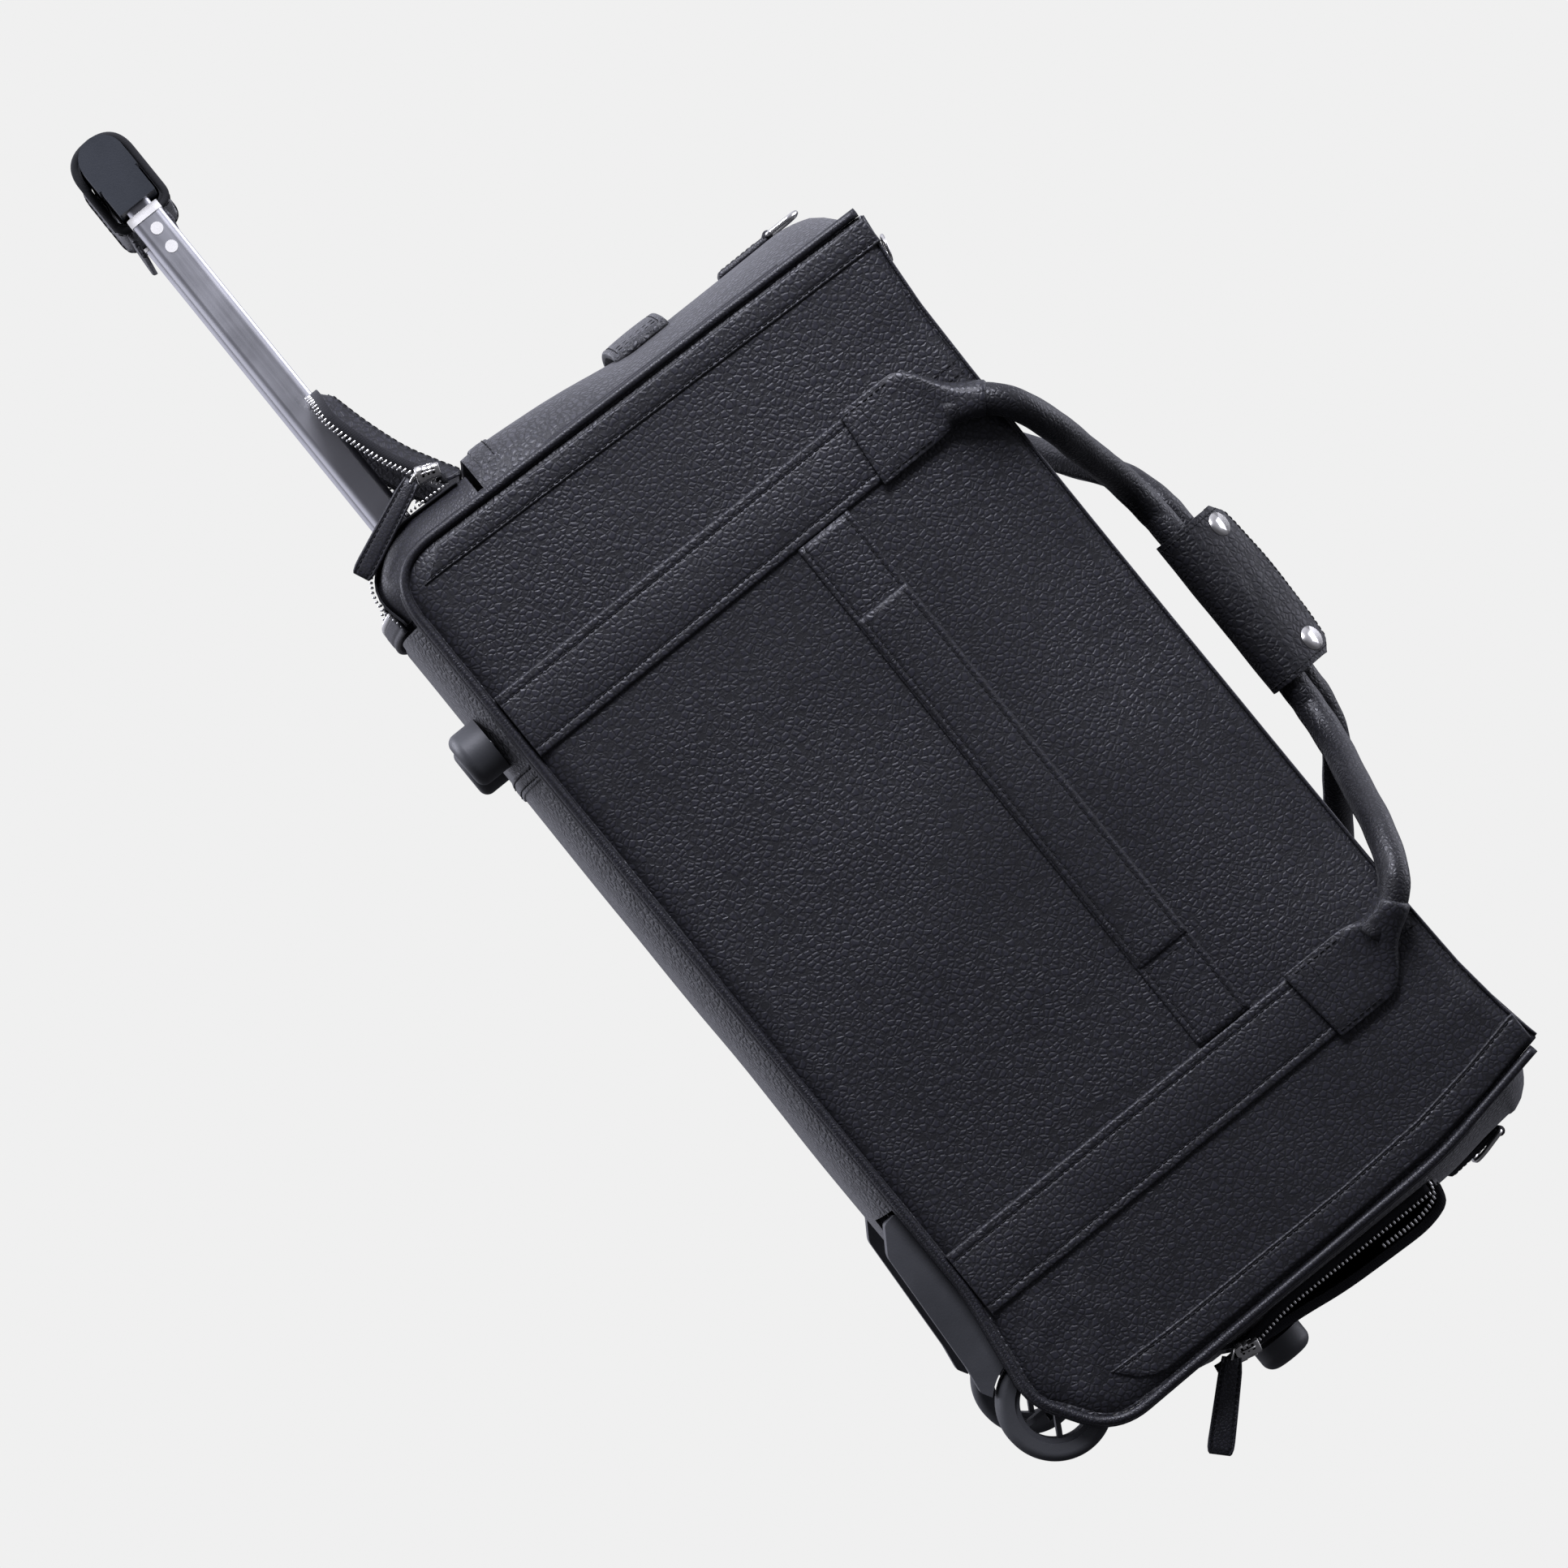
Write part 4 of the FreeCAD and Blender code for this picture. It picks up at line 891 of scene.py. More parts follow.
surface("main_zip_tape", lambda x, y: (x, y, zip_z(x) + 0.4 * math.cos(y / 14 * 1.57)), span(-262, 271, 130),
        mirrored([], [1.5, 4, 10, 15]), "tape", ["main_zip"], thick=0.9)
for side in (-1, 1):
    points = [(x + 1.2 * side, side * 1.0, zip_z(x) + 0.8) for x in span(-258, 268, 60)]
    teeth("bag_teeth", points, (0, 0, 1), (0, -side, 0), pitch=2.4, depth=3.2)
for x, way in ((-261.0, -1), (270.0, 1)):
    points = [(x + d, 0, zip_z(x + d) + lift) for d, lift in ((-3, 1.4), (0, 1.6), (3, 1.4))]
    swept(f"zip_stop_{way + 2}", points, circle(8.5, 12, 0.12), (0, 0, 1), "trim")


# ------------------------------------------------------------------ zip sliders and leather pulls

def slider(name, centre, along, out, body, stands_for, size=1.0):
    """A zip slider: a waisted body, side rails and a bridge over it."""
    along, out = np.array(along, float), np.array(out, float)
    side = np.cross(along, out)
    parts = Batch()
    c = np.array(centre, float)
    for t, w in ((-0.32, 7.6), (-0.12, 7.0), (0.12, 8.0), (0.34, 9.2)):
        for lift, tall in ((1.9, 1.3), (-1.6, 1.1)):
            parts.bead(c + along * t * 12 * size + out * lift * size, along, out, 4.6 * size, w * size,
                       tall * size, True)
    for s in (-1, 1):
        parts.bead(c + side * s * 3.9 * size + along * size, along, out, 8.5 * size, 0.9 * size,
                   3.4 * size, True)
    arch = [c + along * a * size + out * h * size
            for a, h in ((-3.4, 2.2), (-2.6, 4.4), (0, 5.2), (2.6, 4.4), (3.4, 2.2))]
    verts, faces = sweep(spline(arch, 4), lambda i: circle(0.85 * size, 8, 0.8), side)
    shift = len(parts.verts)
    parts.verts += verts
    parts.faces += [tuple(v + shift for v in f) for f in faces]
    recalc(build(name, parts.verts, parts.faces, "nickel", body, stands_for))


def pull_tab(name, top, direction, length, width, body, stands_for, thread):
    """A stitched leather pull: two layers with rolled edges, slightly curved, and a loop at its top."""
    top, direction, face = (np.array(v, float) for v in (top, direction, (0, -1, 0)))
    direction /= np.linalg.norm(direction)
    side = np.cross(direction, face)
    seam = width / 2 - 1.9

    def place(s, a, h):
        t = s / length
        share = np.interp(t, [0, 0.15, 0.9, 0.97, 1], [0.72, 0.86, 1.0, 0.94, 0.76])
        return tuple(top + direction * s + side * a * share + face * (h + math.sin(t * 3.1)))
    for way, word in ((1, "outer"), (-1, "inner")):
        strip(f"{name}_{word}", lambda s, a, h: place(s, a, way * h), span(0, length, 14),
              profile(width, 1.35, (seam, -seam), 1.0), "trim", body, stands_for if way > 0 else ())
    for way in (1, -1):
        rows = [[place(s, a * seam, way * 1.15) for s in span(3, length - 2.5, 10)] for a in (-1, 1)]
        rows.append([place(length - 2.5, a, way * 1.15) for a in span(-seam, seam, 3)])
        for row in rows:
            stitch(row, face * way, thread, pitch=2.6, length=1.9, width=0.6)
    loop = [top + direction * s + face * h
            for s, h in ((1.5, 1.3), (-1.8, 1.9), (-3.9, 0.2), (-1.8, -1.6), (1.5, -1.3))]
    swept(f"{name}_link", spline(loop, 5), circle(0.75, 8), side, "nickel", body)


for word, x in (("handle", -230.0), ("wheel", 240.0)):
    slider(f"{word}_end_zip_slider", (x, 0, 314.6), (1 if word == "handle" else -1, 0, 0), (0, 0, 1),
           f"{word}_end_slider", [f"main_slider_{word}_end"])


# ------------------------------------------------------------------ carry handles, chapes and wrap

def handle_line(top):
    """The handle's middle line: up out of its chape, in over the bag and along to the wrap."""
    lift = (top - CHAPE_TOP_Z) / (FRONT_TUBE_Z - CHAPE_TOP_Z)
    half = [(-160, -122, 284), (-155, -125.5, 300), (-143, -123.5, 311.5), (-124, -105, 321),
            (-104, -66, 329.5), (-84, -28, 338), (-64, -11.5, 342), (-46, -10.5, 343), (0, -10.5, 343.6)]
    half = [(x + HANDLE_X, y, CHAPE_TOP_Z + (z - CHAPE_TOP_Z) * lift) for x, y, z in half]
    return half + [(2 * HANDLE_X - x, y, z) for x, y, z in reversed(half[:-1])]


def handle(side, word, top):
    """A rolled leather handle: a slightly flattened tube with its seam underneath."""
    line = spline([(x, -side * y, z) for x, y, z in handle_line(top)], 9)

    def section(i):
        ring = []
        for k in range(20):
            angle = math.pi * k / 10
            r = 7.5 + 0.12 * math.sin(i * 0.9 + k)
            seam = 1.0 * math.exp(-((angle - 1.5 * math.pi) / 0.22) ** 2)
            ring.append(((r + 0.5 * seam) * math.cos(angle), (r + seam * 0.7) * math.sin(angle)))
        return ring
    swept(f"{word}_handle_leather", line, section, (0, 0, 1), "handle", f"{word}_carry_handle",
          [f"{word}_handle"])
    under = [np.array(p) + np.array((0, side * 2.6, -7.6)) for p in line[14:-14]]
    stitch(under, (0, side * 0.35, -1), f"{word}_handle_thread", pitch=3.0, length=2.2)
    return line


def chape(side, word, k, x0, line):
    """The leather tab that holds a handle's end: flat on the strap, gathered round the handle above."""
    way = 1 if k == 0 else -1
    around, flat_half = 28, 20.2
    stations = [(240.8, 0.3), (241.2, 0.9), (242.5, 1.0), (248, 1.0), (256, 1.0), (264, 1.0), (270, 1.0)]
    upper = [(0.06, 273.5), (0.17, 277.0), (0.33, 281.0), (0.52, 285.5), (0.72, 290.5), (0.88, 295.5),
             (1.0, 300.5), (1.0, 303.0)]
    flat_out, flat_up = np.array((0, side, 0.0)), np.array((0, 0, 1.0))
    rows = [(np.array((x0, side * (face_depth(x0, z) + 3.5), z)), flat_up, flat_half, 1.7 * share, 9.0)
            for z, share in stations]
    ordered = line if k == 0 else line[::-1]
    heights = [p[2] for p in ordered[:24]]
    for t, z in upper:
        j = float(np.interp(z, heights, range(len(heights))))
        i = min(int(j), len(heights) - 2)
        step = ordered[i + 1] - ordered[i]
        tube = ordered[i] + step * (j - i)
        rise = step / np.linalg.norm(step)
        flat = np.array((x0, side * (face_depth(x0, 270) + 3.5), z))
        soft = ease(0.0, 1.0, t)
        up = flat_up + (rise - flat_up) * soft
        slim = ease(0.0, 0.85, t)
        rows.append((flat + (tube - flat) * soft, up / np.linalg.norm(up),
                     flat_half + (9.1 - flat_half) * slim, 1.9 + 7.1 * soft, 9.0 + (2.1 - 9.0) * soft ** 0.6))
    verts = []
    for centre, up, w, t, power in rows:
        outward_now = flat_out - up * np.dot(flat_out, up)
        outward_now /= np.linalg.norm(outward_now)
        across = np.cross(outward_now, up) * -side
        for i in range(around):
            angle = 2 * math.pi * i / around
            c, s = math.cos(angle), math.sin(angle)
            a = w * math.copysign(abs(c) ** (2 / power), c)
            h = t * math.copysign(abs(s) ** (2 / power), s)
            edge = ease(0.80, 1.0, abs(a) / w)
            sew = 0.5 * math.exp(-((abs(a) - (w - 2.6)) / 0.8) ** 2) * (centre[2] < 270)
            p = centre + across * a + outward_now * (h * (1 - 0.3 * edge) - (sew if h > 0 else 0))
            verts.append((p[0], p[1], p[2] + 0.10 * a * way * (centre[2] < 245)))
    faces = quads(len(rows), around) + caps(len(rows), around)
    made = recalc(build(f"{word}_chape_{k + 1}", verts, faces, "leather", None, ["chapes"]))
    made.modifiers.new("smooth", "SUBSURF").levels = 1
    made.modifiers["smooth"].render_levels = 1
    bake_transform(made)
    out = (0, side, 0)
    depth = face_depth(x0, 256) + 5.0
    for a in (-17.4, 17.4):
        stitch([(x0 + a, side * depth, z) for z in span(243.5, 270, 8)], out)
    for z in (245.0, 252.5):
        slope = 0.10 * way * (z < 246)
        stitch([(x0 + a, side * depth, z + slope * a) for a in span(-16, 16, 8)], out)


def snap(name, centre, out, body, node_name):
    """A nearly flat metal snap cap with a rounded rim."""
    across = np.array((1.0, 0, 0))
    along = np.cross(out, across)
    rings = [(6.4, -0.4), (6.6, 0.6), (6.4, 1.2), (6.0, 1.42), (5.6, 1.38), (4.6, 1.36), (2.4, 1.42),
             (0.05, 1.44)]
    around = 32
    verts = [centre + (across * math.cos(turn) + along * math.sin(turn)) * radius + out * lift
             for radius, lift in rings for turn in span(0, 2 * math.pi * (1 - 1 / around), around - 1)]
    faces = quads(len(rings), around) + caps(len(rings), around)
    recalc(build(name, verts, faces, "nickel", body, [node_name]))


def wrap(side, word, tube_z):
    """Half of the handle wrap: round the tube and up to the snaps, with an arched, stitched top."""
    body, thread, half = f"{word}_carry_handle", f"{word}_handle_thread", 46
    down = tube_z - FRONT_TUBE_Z
    shape = [(0.9, 372.2), (2.4, 371.2), (5.4, 368.3 + down * 0.1), (9.6, 363.8 + down * 0.35),
             (14.0, 358.4 + down * 0.6), (17.9, 352.6 + down * 0.85), (20.2, 347.6 + down),
             (20.8, 342.6 + down), (19.2, 337.4 + down), (15.6, 334.1 + down), (10.5, 332.9 + down),
             (5.5, 333.3 + down), (0.6, 333.9 + down)]
    curve = spline([(0, y, z) for y, z in shape], 4)
    total = len(curve) - 1

    def place(x, t, lift=0.0):
        p, d = along_curve(curve, t)
        normal = np.array((0, -d[2], d[1])) / np.linalg.norm(d)
        share = min(1.0, abs(x) / half)
        corner = 4.0 * max(0.0, share - 0.86) / 0.14
        drop = (3.2 * share ** 2 + corner ** 1.3) * max(0.0, 1 - t / 12)
        soft = 0.35 * wobble(x, side, t * 4, 16, 2.0)
        y = p[1] + normal[1] * (lift + soft)
        return (x + HANDLE_X, side * y, p[2] - drop + normal[2] * (lift + soft))

    xs = mirrored(span(-39, 39, 26), [42, 44.6, 45.6, half])
    recalc(surface(f"{word}_wrap_leather", place, xs, [float(i) for i in range(total + 1)], "wrap",
                   [f"{word}_wrap"], body, thick=1.7, offset=0.0))
    rows = [[place(x, 2.2, 0.9) for x in span(-42, 42, 26)]]
    rows += [[place(x, t, 0.9) for t in span(2.5, total - 8, 24)] for x in (-43.2, 43.2)]
    for row in rows:
        stitch(row, lambda p: (0, side, 0.5 if p[2] > 345 else -0.1), thread, pitch=3.0, length=2.2)
    for k, x in enumerate((-36.0, 36.0)):
        centre, above = np.array(place(x, 12.3, 0.7)), np.array(place(x, 10.3, 0.7))
        normal = np.cross((1, 0, 0), above - centre) * side
        snap(f"{word}_snap_{k + 1}", centre, normal / np.linalg.norm(normal), body,
             "snap_caps" if side < 0 else "snap_sockets")


for side, word, top in ((-1, "front", FRONT_TUBE_Z), (1, "back", BACK_TUBE_Z)):
    line = handle(side, word, top)
    for k, x0 in enumerate(STRAPS):
        chape(side, word, k, x0, line)
    wrap(side, word, top)


# ------------------------------------------------------------------ trolley grip sleeve

def sleeve():
    """Leather wrapped round the grip, loose at the back, with a window for the button."""
    low, high = 32.9, 64.1
    shape = rounded([(-517, low, 15), (-470, low, 7), (-470, high, 7), (-517, high, 15)], 2.0)
    middle = np.array((-493, (low + high) / 2))

    def fn(y, k):
        p = shape[int(k) % len(shape)]
        flare = 0.8 * ease(36, 44, abs(y)) + 0.5 * wobble(p[0], y, p[1], 14, 4.0)
        d = (p - middle) / np.linalg.norm(p - middle)
        return (p[0] + d[0] * flare, y, p[1] + d[1] * flare)

    ys = span(-44, -17, 12) + span(-15, 15, 10) + span(17, 44, 12)
    ks = list(range(len(shape)))

    def keep(y, k):
        """Leaves the window over the button open."""
        p = shape[int(k) % len(shape)]
        return not (abs(y) < 16 and p[0] < -508 and 41 < p[1] < 57)
    recalc(surface("sleeve_leather", fn, ys, ks, "lit_end_leather", ["grip_sleeve"], "inner_stage", round_v=True,
                   keep=keep, thick=2.2))
    behind = [k for k in ks if shape[k][0] > -508]
    for y in (-41.0, 41.0):
        stitch([fn(y, k) for k in behind if shape[k][1] > 50], (0.2, 0, 1), "inner_thread", lift=0.3)
        stitch([fn(y, k) for k in behind if shape[k][1] < 44], (0.2, 0, -1), "inner_thread", lift=0.3)
    inner = [middle + (p - middle) * 0.86 for p in shape]
    recalc(surface("sleeve_backing", lambda y, k: (inner[int(k)][0], y, inner[int(k)][1]), ys, ks, "suede",
                   body="inner_stage", round_v=True, keep=keep, thick=1.6, offset=0.0))
    for y in (-43.4, 43.4):
        rim = [middle + (p - middle) * 0.955 for p in shape]
        tube_along(f"sleeve_rim_{1 if y < 0 else 2}", [(p[0], y, p[1]) for p in rim + rim[:1]], 1.9, "suede",
                   "inner_stage", n=10)
    for name, z, x1, way in (("lower", 36.6, -455.5, -1), ("upper", 57.0, -462.0, 1)):
        strip(f"sleeve_tail_{name}",
              lambda s, a, h: (s, a, z + way * (h - 1.0) + 1.2 * math.sin((s + 471) / 14) * way),
              span(-471.5, x1, 10), profile(87, 2.0, (-40, 40), 1.2), "lit_end_leather", "inner_stage")
        stitch([(x1 - 3, y, z + way * 1.4) for y in span(-40, 40, 12)], (0, 0, way), "inner_thread")


sleeve()


# ------------------------------------------------------------------ trolley flap and compartment zip

FLAP = spline([(-276.2, 0, 87.9), HINGE, (-289, 0, 81), (-303, 0, 73.6), (-322, 0, 67.5), (-338, 0, 63.6),
               (-349.5, 0, 61.2)], 5)


def flap_place(u, v, lift=0.0):
    """u from the hinge (0) to the tip (1), v across (-1 to 1); the rim turns down like a lid's."""
    p, _ = along_curve(FLAP, u * (len(FLAP) - 1))
    half = 105.0 - 16.0 * max(0.0, (u - 0.62) / 0.38) ** 3
    y = v * half
    rim = min(half - abs(y), (1 - u) * 78.0)
    turn = 1 - ease(0.0, 9.0, rim)
    tall = 8.0 * ease(-0.06, 0.14, u) * (1 - 0.55 * ease(0.75, 1.0, u))
    crown = 2.4 * (1 - v * v) * ease(0.1, 0.45, u)
    soft = 0.7 * wobble(p[0], y, 0, 35, 6.0)
    return (p[0] + lift * 0.25, y, p[2] - tall * turn + crown + soft + lift)


us = [0, 0.05, 0.1, 0.15] + span(0.2, 0.84, 14) + [0.88, 0.91, 0.94, 0.965, 0.985, 1.0]
vs = mirrored(span(-0.85, 0.85, 22), [0.9, 0.93, 0.955, 0.975, 0.99, 1])
flap = recalc(surface("flap_leather", flap_place, us, vs, "leather", ["flap"], "trolley_flap", thick=2.0))
FLAP_PIECES = [flap]
for v in (-0.925, 0.925):
    stitch([flap_place(u, v, 0.2) for u in span(0.05, 0.9, 24)], (0, v * 0.6, 1), "flap_thread")
stitch([flap_place(0.93, v, 0.2) for v in span(-0.9, 0.9, 40)], (-0.6, 0, 1), "flap_thread")
rim = [flap_place(u, -1, -1.4) for u in span(0.08, 1.0, 26)]
rim += [flap_place(1.0, v, -1.4) for v in span(-0.97, 0.97, 40)]
rim += [flap_place(u, 1, -1.4) for u in span(1.0, 0.08, 26)]
section = [(-0.5, 2.2), (0.5, 2.2), (0.5, -2.6), (-0.5, -2.6)]
FLAP_PIECES.append(swept("flap_zip_tape", rim, section, (0, 0, 1), "tape", "trolley_flap", ["flap_zip"]))
teeth("flap_teeth", [np.array(p) - np.array((0, 0, 3.4)) for p in rim],
      lambda p: (0, p[1], 0) if p[0] > -344 else (-1, 0, 0.01), (0, 0, 1), pitch=2.5, depth=2.8)


def ribbon(name, path, low, high, up, stands_for=()):
    """A flat zip tape on the bag, a millimetre thick and reaching from low to high across its path."""
    section = [(low, 0.5), (high, 0.5), (high, -0.5), (low, -0.5)]
    swept(name, path, section, up, "tape", stands_for=stands_for)


for side in (-1, 1):
    ribbon(f"well_zip_tape_{side + 2}",
           [corner_loft.place(u, side * 106.0, 0.6) for u in range(2, len(corner_loft.points))],
           -3, 3.4, (-0.7, 0, -0.7), ["well_zip"] if side < 0 else [])
    points = [corner_loft.place(u, side * 103.4, 1.2) for u in range(3, len(corner_loft.points))]
    teeth("bag_teeth", points, lambda p: (p[0] + 230, 0, p[2] - 58), (0, side, 0))


def lip(y, a, h):
    """The base's front lip under the compartment, drooping a little below the base."""
    x = -237.0 - a
    z = 15.0 + 4.5 * (abs(y) / 106) ** 3 - 2.5 * math.cos(y / 106 * 1.5)
    return (x, y, z - h)


strip("lip_leather", lip, span(-105, 105, 50), profile(10, 1.6, (-2.0,)), "trim")
lip_line = [lip(y, 6.0, 0.6) for y in span(-104, 104, 60)]
teeth("bag_teeth", lip_line, (0, 0, -1), (1, 0, 0))
slider("flap_zip_slider", (-284.5, -107.6, 74.5), (-0.35, 0, -0.94), (0, -1, 0), "bag", ["flap_slider"], 0.95)
pull_tab("flap_pull_leather", (-286.3, -111.8, 66.0), (0.40, -0.03, -0.917), 52, 10.8, "flap_pull_tab",
         ["flap_pull"], "flap_pull_thread")


# ------------------------------------------------------------------ wheel-end pocket

POCKET = spline([(276, 0, 238.5), (284, 0, 238), (293, 0, 234), (297, 0, 222), (297.5, 0, 205), (296, 0, 175),
                 (292.5, 0, 147), (289.5, 0, 122), (284, 0, 109), (276, 0, 95)], 5)
POCKET_N = len(POCKET) - 1


def pocket_place(k, y, lift=0.0):
    """Point k steps down the pocket's outer leather, y across, lifted outwards."""
    p, d = along_curve(POCKET, k)
    normal = np.array((-d[2], 0, d[0])) / np.linalg.norm(d)
    inward = 2.0 * (1 - ease(0, 8, 88 - abs(y)))
    soft = 0.8 * wobble(p[0], y, p[2], 40, 8.0) - inward + 2.0 * (1 - (y / 88) ** 2) + lift
    return (p[0] + normal[0] * soft, y, p[2] + normal[2] * soft)


recalc(surface("pocket_leather", pocket_place, [float(i) for i in range(POCKET_N + 1)],
               mirrored(span(-72, 72, 18), [78, 82, 85, 87, 88]), "leather", ["pocket"], thick=2.2))
for y in (-84.5, 84.5):
    stitch([pocket_place(k, y, 0.3) for k in span(4, POCKET_N - 4, 40)], (1, 0, 0))


def end_x(z, y=88.0):
    """How far out the wheel end's leather stands at a height."""
    return base_loft.place(base_loft.near(268, z), y)[0] + 0.3


def far_wall(k, t):
    """The pocket's far side: from its outer leather (t = 0) in to the bag's end (1)."""
    x, _, z = pocket_place(k, 87.0)
    return (x + (end_x(z) - x) * t, 87.0 + 2.0 * math.sin(3.14 * t), z)


surface("pocket_side_far", far_wall, span(1, POCKET_N, 44), [0, 0.15, 0.35, 0.6, 0.85, 1.0], "lit_end_leather",
        thick=0.9, offset=0.0)
outer_edge = [pocket_place(k, -88.6, -1.6) for k in span(5, POCKET_N - 7, 50)]
ribbon("pocket_tape_outer", outer_edge, -3.4, 1.2, (0, -1, 0), ["pocket_zip"])
inner_edge = [(end_x(z, 89) + 1.5 + 5.0 * (1 - ease(104, 150, z)), -89.2, z) for z in span(232, 98, 50)]
ribbon("pocket_tape_inner", inner_edge, -2.4, 2.4, (0, -1, 0))
teeth("bag_teeth", [(x + 2.9, y - 0.8, z) for x, y, z in inner_edge], (0, -1, 0), (1, 0, 0.01), 2.4, 2.0, 1.4)
teeth("bag_teeth", [(x - 3.6, -88.6, z) for x, _, z in outer_edge if z > 196], (0, -1, 0), (1, 0, 0.01),
      2.4, 2.6, 1.5)
slider("pocket_zip_slider", (end_x(116, 89) + 7.5, -90.0, 116.0), (-0.25, 0, -0.97), (0, -1, 0), "bag",
       ["pocket_slider"], 1.0)
pull_tab("pocket_pull_leather", (284.9, -92.6, 107.6), (36.5, -1.0, -38.3), 47, 13.2, "pocket_pull_tab",
         ["pocket_pull"], "pocket_pull_thread")


# ------------------------------------------------------------------ end tabs and grab loop

def end_tab(name, x, way, z0, z1, lean):
    """A sewn tab that folds over a D-ring's bar."""
    def fn(s, a, h):
        return (x + way * h + lean * (s - z0), a, s)
    strip(name, fn, span(z0, z1, 16), profile(21, 2.6, (-8.3, 8.3), 1.2, puff=0.3), "trim",
          stands_for=["end_tabs"])
    for a in (-8.3, 8.3):
        stitch([fn(s, a, 2.5) for s in span(z0 + 2, z1 - 6, 8)], (way, 0, 0), pitch=3.0, length=2.2)
    roll = [(x + way * 1.6 + lean * (z1 - z0), y, z1 + 1.0) for y in span(-10.4, 10.4, 8)]
    tube_along(f"{name}_fold", roll, 2.7, "trim", n=14, up=(0, 0, 1))


end_tab("handle_end_tab", -275.5, -1, 249, 279.2, 0.0)
end_tab("wheel_end_tab", 290.9, 1, 250, 282.0, -0.066)


def grab(y, a, h):
    """The flat loop of strap across the handle end, standing off in its middle."""
    stand = 1.0 + 4.6 * math.cos(min(1.0, abs(y) / 62) * 1.57) ** 0.7
    x = end_loft.place(end_loft.near(-256, GRAB_Z), y)[0] - stand
    return (x - h, y, GRAB_Z + a)


strip("grab_strap", grab, span(-62, 62, 50), profile(32, 2.6, (-12.6, 12.6), puff=0.6), "lit_end_leather",
      stands_for=["grab_loop"])
for a in (-12.6, 12.6):
    stitch([grab(y, a, 2.4) for y in span(-60, 60, 40)], (-1, 0, 0))
for y in (-58, -52, 52, 58):
    stitch([grab(y, a, 2.9) for a in span(-12, 12, 6)], (-1, 0, 0))


# ------------------------------------------------------------------ threads and teeth, the folding flap

BODIES = {"bag": "bag", "front_handle": "front_carry_handle", "back_handle": "back_carry_handle",
          "inner": "inner_stage", "flap": "trolley_flap", "flap_pull": "flap_pull_tab",
          "pocket_pull": "pocket_pull_tab"}
for name, parts in BATCHES.items():
    who, kind = name.rsplit("_", 1)
    made = build(f"{name}_rows", parts.verts, parts.faces, kind, BODIES[who])
    if who == "flap":
        FLAP_PIECES.append(made)
for piece in FLAP_PIECES:
    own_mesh(piece)


# ------------------------------------------------------------------ stage, light and camera

def floor():
    """A pale floor, seen from above only, that doesn't darken or tint the bag."""
    mesh = bpy.data.meshes.new("floor")
    mesh.from_pydata([(-20, -20, 0), (20, -20, 0), (20, 20, 0), (-20, 20, 0)], [], [(0, 1, 2, 3)])
    made = bpy.data.objects.new("floor", mesh)
    bpy.context.scene.collection.objects.link(made)
    mat, tree, shader = nodes_of("pale_floor")
    shader.inputs["Base Color"].default_value = (0.86, 0.86, 0.86, 1)
    shader.inputs["Roughness"].default_value = 0.85
    clear = node(tree, "ShaderNodeBsdfTransparent").outputs[0]
    back = node(tree, "ShaderNodeNewGeometry").outputs["Backfacing"]
    both = node(tree, "ShaderNodeMixShader", {0: back, 1: shader.outputs[0], 2: clear})
    tree.links.new(both.outputs[0], tree.nodes["Material Output"].inputs["Surface"])
    mesh.materials.append(mat)
    made.visible_diffuse = False
    made.visible_glossy = False
    made.visible_shadow = False
    made.visible_transmission = False


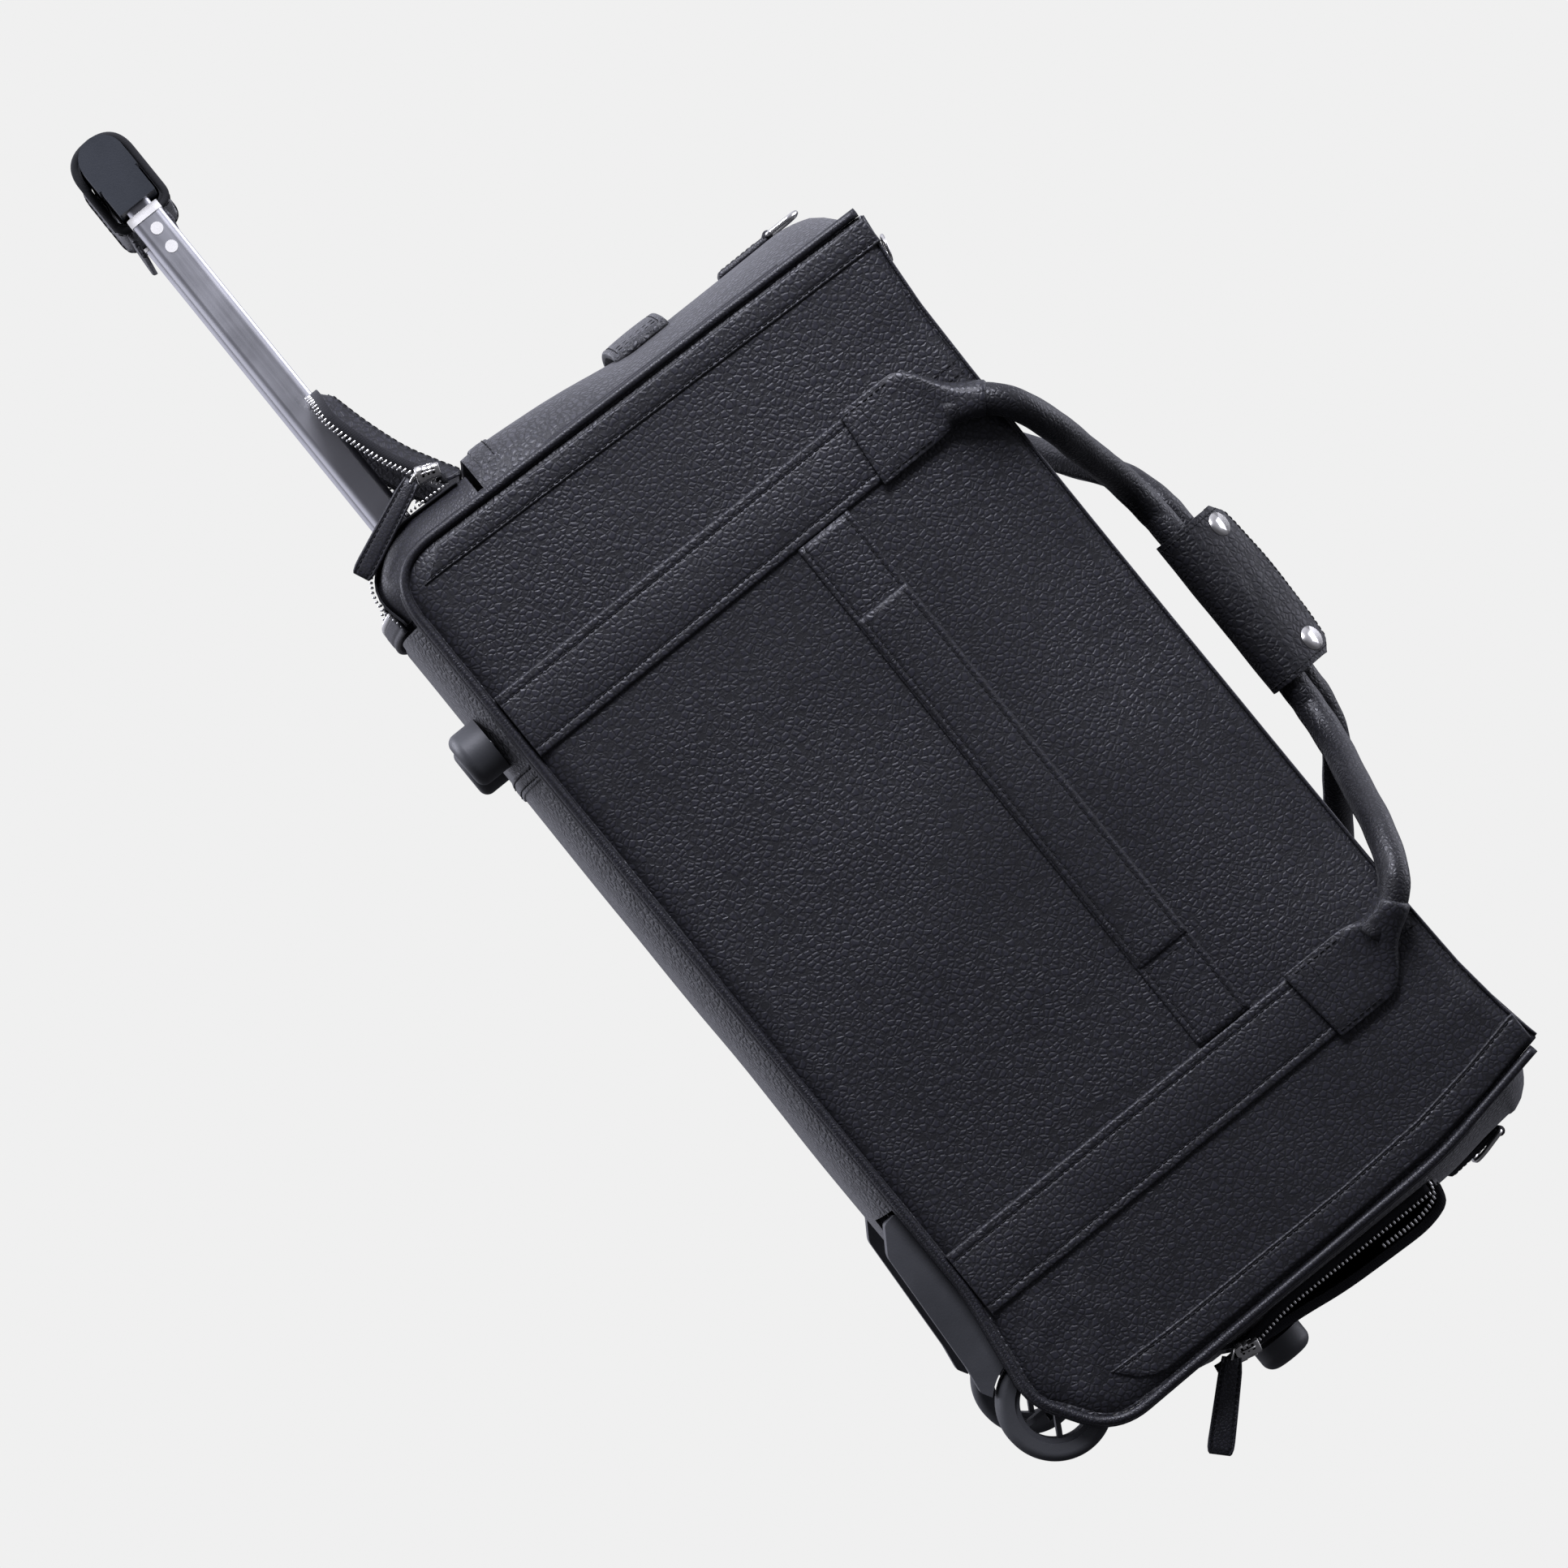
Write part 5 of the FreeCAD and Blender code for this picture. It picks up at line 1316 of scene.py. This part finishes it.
def world():
    """Even pale surround for the eye; as light, brighter from the handle side and dim from the front."""
    scene = bpy.context.scene
    scene.world = bpy.data.worlds.new("studio")
    scene.world.use_nodes = True
    tree = scene.world.node_tree
    back = tree.nodes["Background"]
    way = node(tree, "ShaderNodeTexCoord").outputs["Generated"]
    left, above = (node(tree, "ShaderNodeVectorMath", {0: way, 1: direction},
                        operation="DOT_PRODUCT").outputs["Value"]
                   for direction in ((-0.80, 0.25, -0.35), (-0.30, 0.0, 0.95)))
    glow = maths(tree, "ADD", remap(tree, left, 0.0, 0.9, 0.10, 1.10), remap(tree, above, 0.2, 0.9, 0.0, 0.5))
    seen = node(tree, "ShaderNodeLightPath").outputs["Is Camera Ray"]
    cool = node(tree, "ShaderNodeVectorMath", {0: (0.94, 0.95, 1.11), "Scale": glow},
                operation="SCALE").outputs[0]
    tree.links.new(mix_colour(tree, seen, cool, (0.871, 0.871, 0.871)), back.inputs["Color"])


def lamp(name, place, aim, size, watts):
    """A large, soft, slightly cool lamp."""
    light = bpy.data.lights.new(name, "AREA")
    light.size = size
    light.energy = watts
    light.color = (0.95, 0.96, 1.10)
    made = bpy.data.objects.new(name, light)
    bpy.context.scene.collection.objects.link(made)
    made.location = place
    made.rotation_euler = (Vector(aim) - Vector(place)).to_track_quat("-Z", "Y").to_euler()


def camera():
    """Looks straight at the front, rolled so that the bag stands tipped up on its wheels' end."""
    data = bpy.data.cameras.new("camera")
    made = bpy.data.objects.new("camera", data)
    bpy.context.scene.collection.objects.link(made)
    rise, roll = math.radians(2.42), math.radians(51)
    away, seen_width, film_width = 3.4, 0.7438, 36
    look = Vector((0, math.cos(rise), math.sin(rise)))
    high = Vector((0, -math.sin(rise), math.cos(rise)))
    right = Vector((1, 0, 0)) * math.cos(roll) + high * math.sin(roll)
    up = Vector((-1, 0, 0)) * math.sin(roll) + high * math.cos(roll)
    target = Vector(at(-60.4, -120, 114.3)) + up * 0.0007 - right * 0.0030
    data.lens = film_width * away / seen_width
    data.clip_end = 100
    turned = Matrix((right, up, -look)).transposed().to_4x4()
    made.matrix_world = Matrix.Translation(target - look * away) @ turned
    bpy.context.scene.camera = made


floor()
world()
camera()
lamp("key", (-1.7, -1.5, 0.9), (0.05, 0, 0.15), 0.9, 110)
lamp("top", (0.2, 0.5, 2.6), (0.1, 0, 0.2), 2.2, 40)
lamp("rim", (-2.0, 0.2, -1.6), (0.0, 0, 0.1), 1.8, 80)
bpy.context.scene.view_settings.view_transform = "Standard"
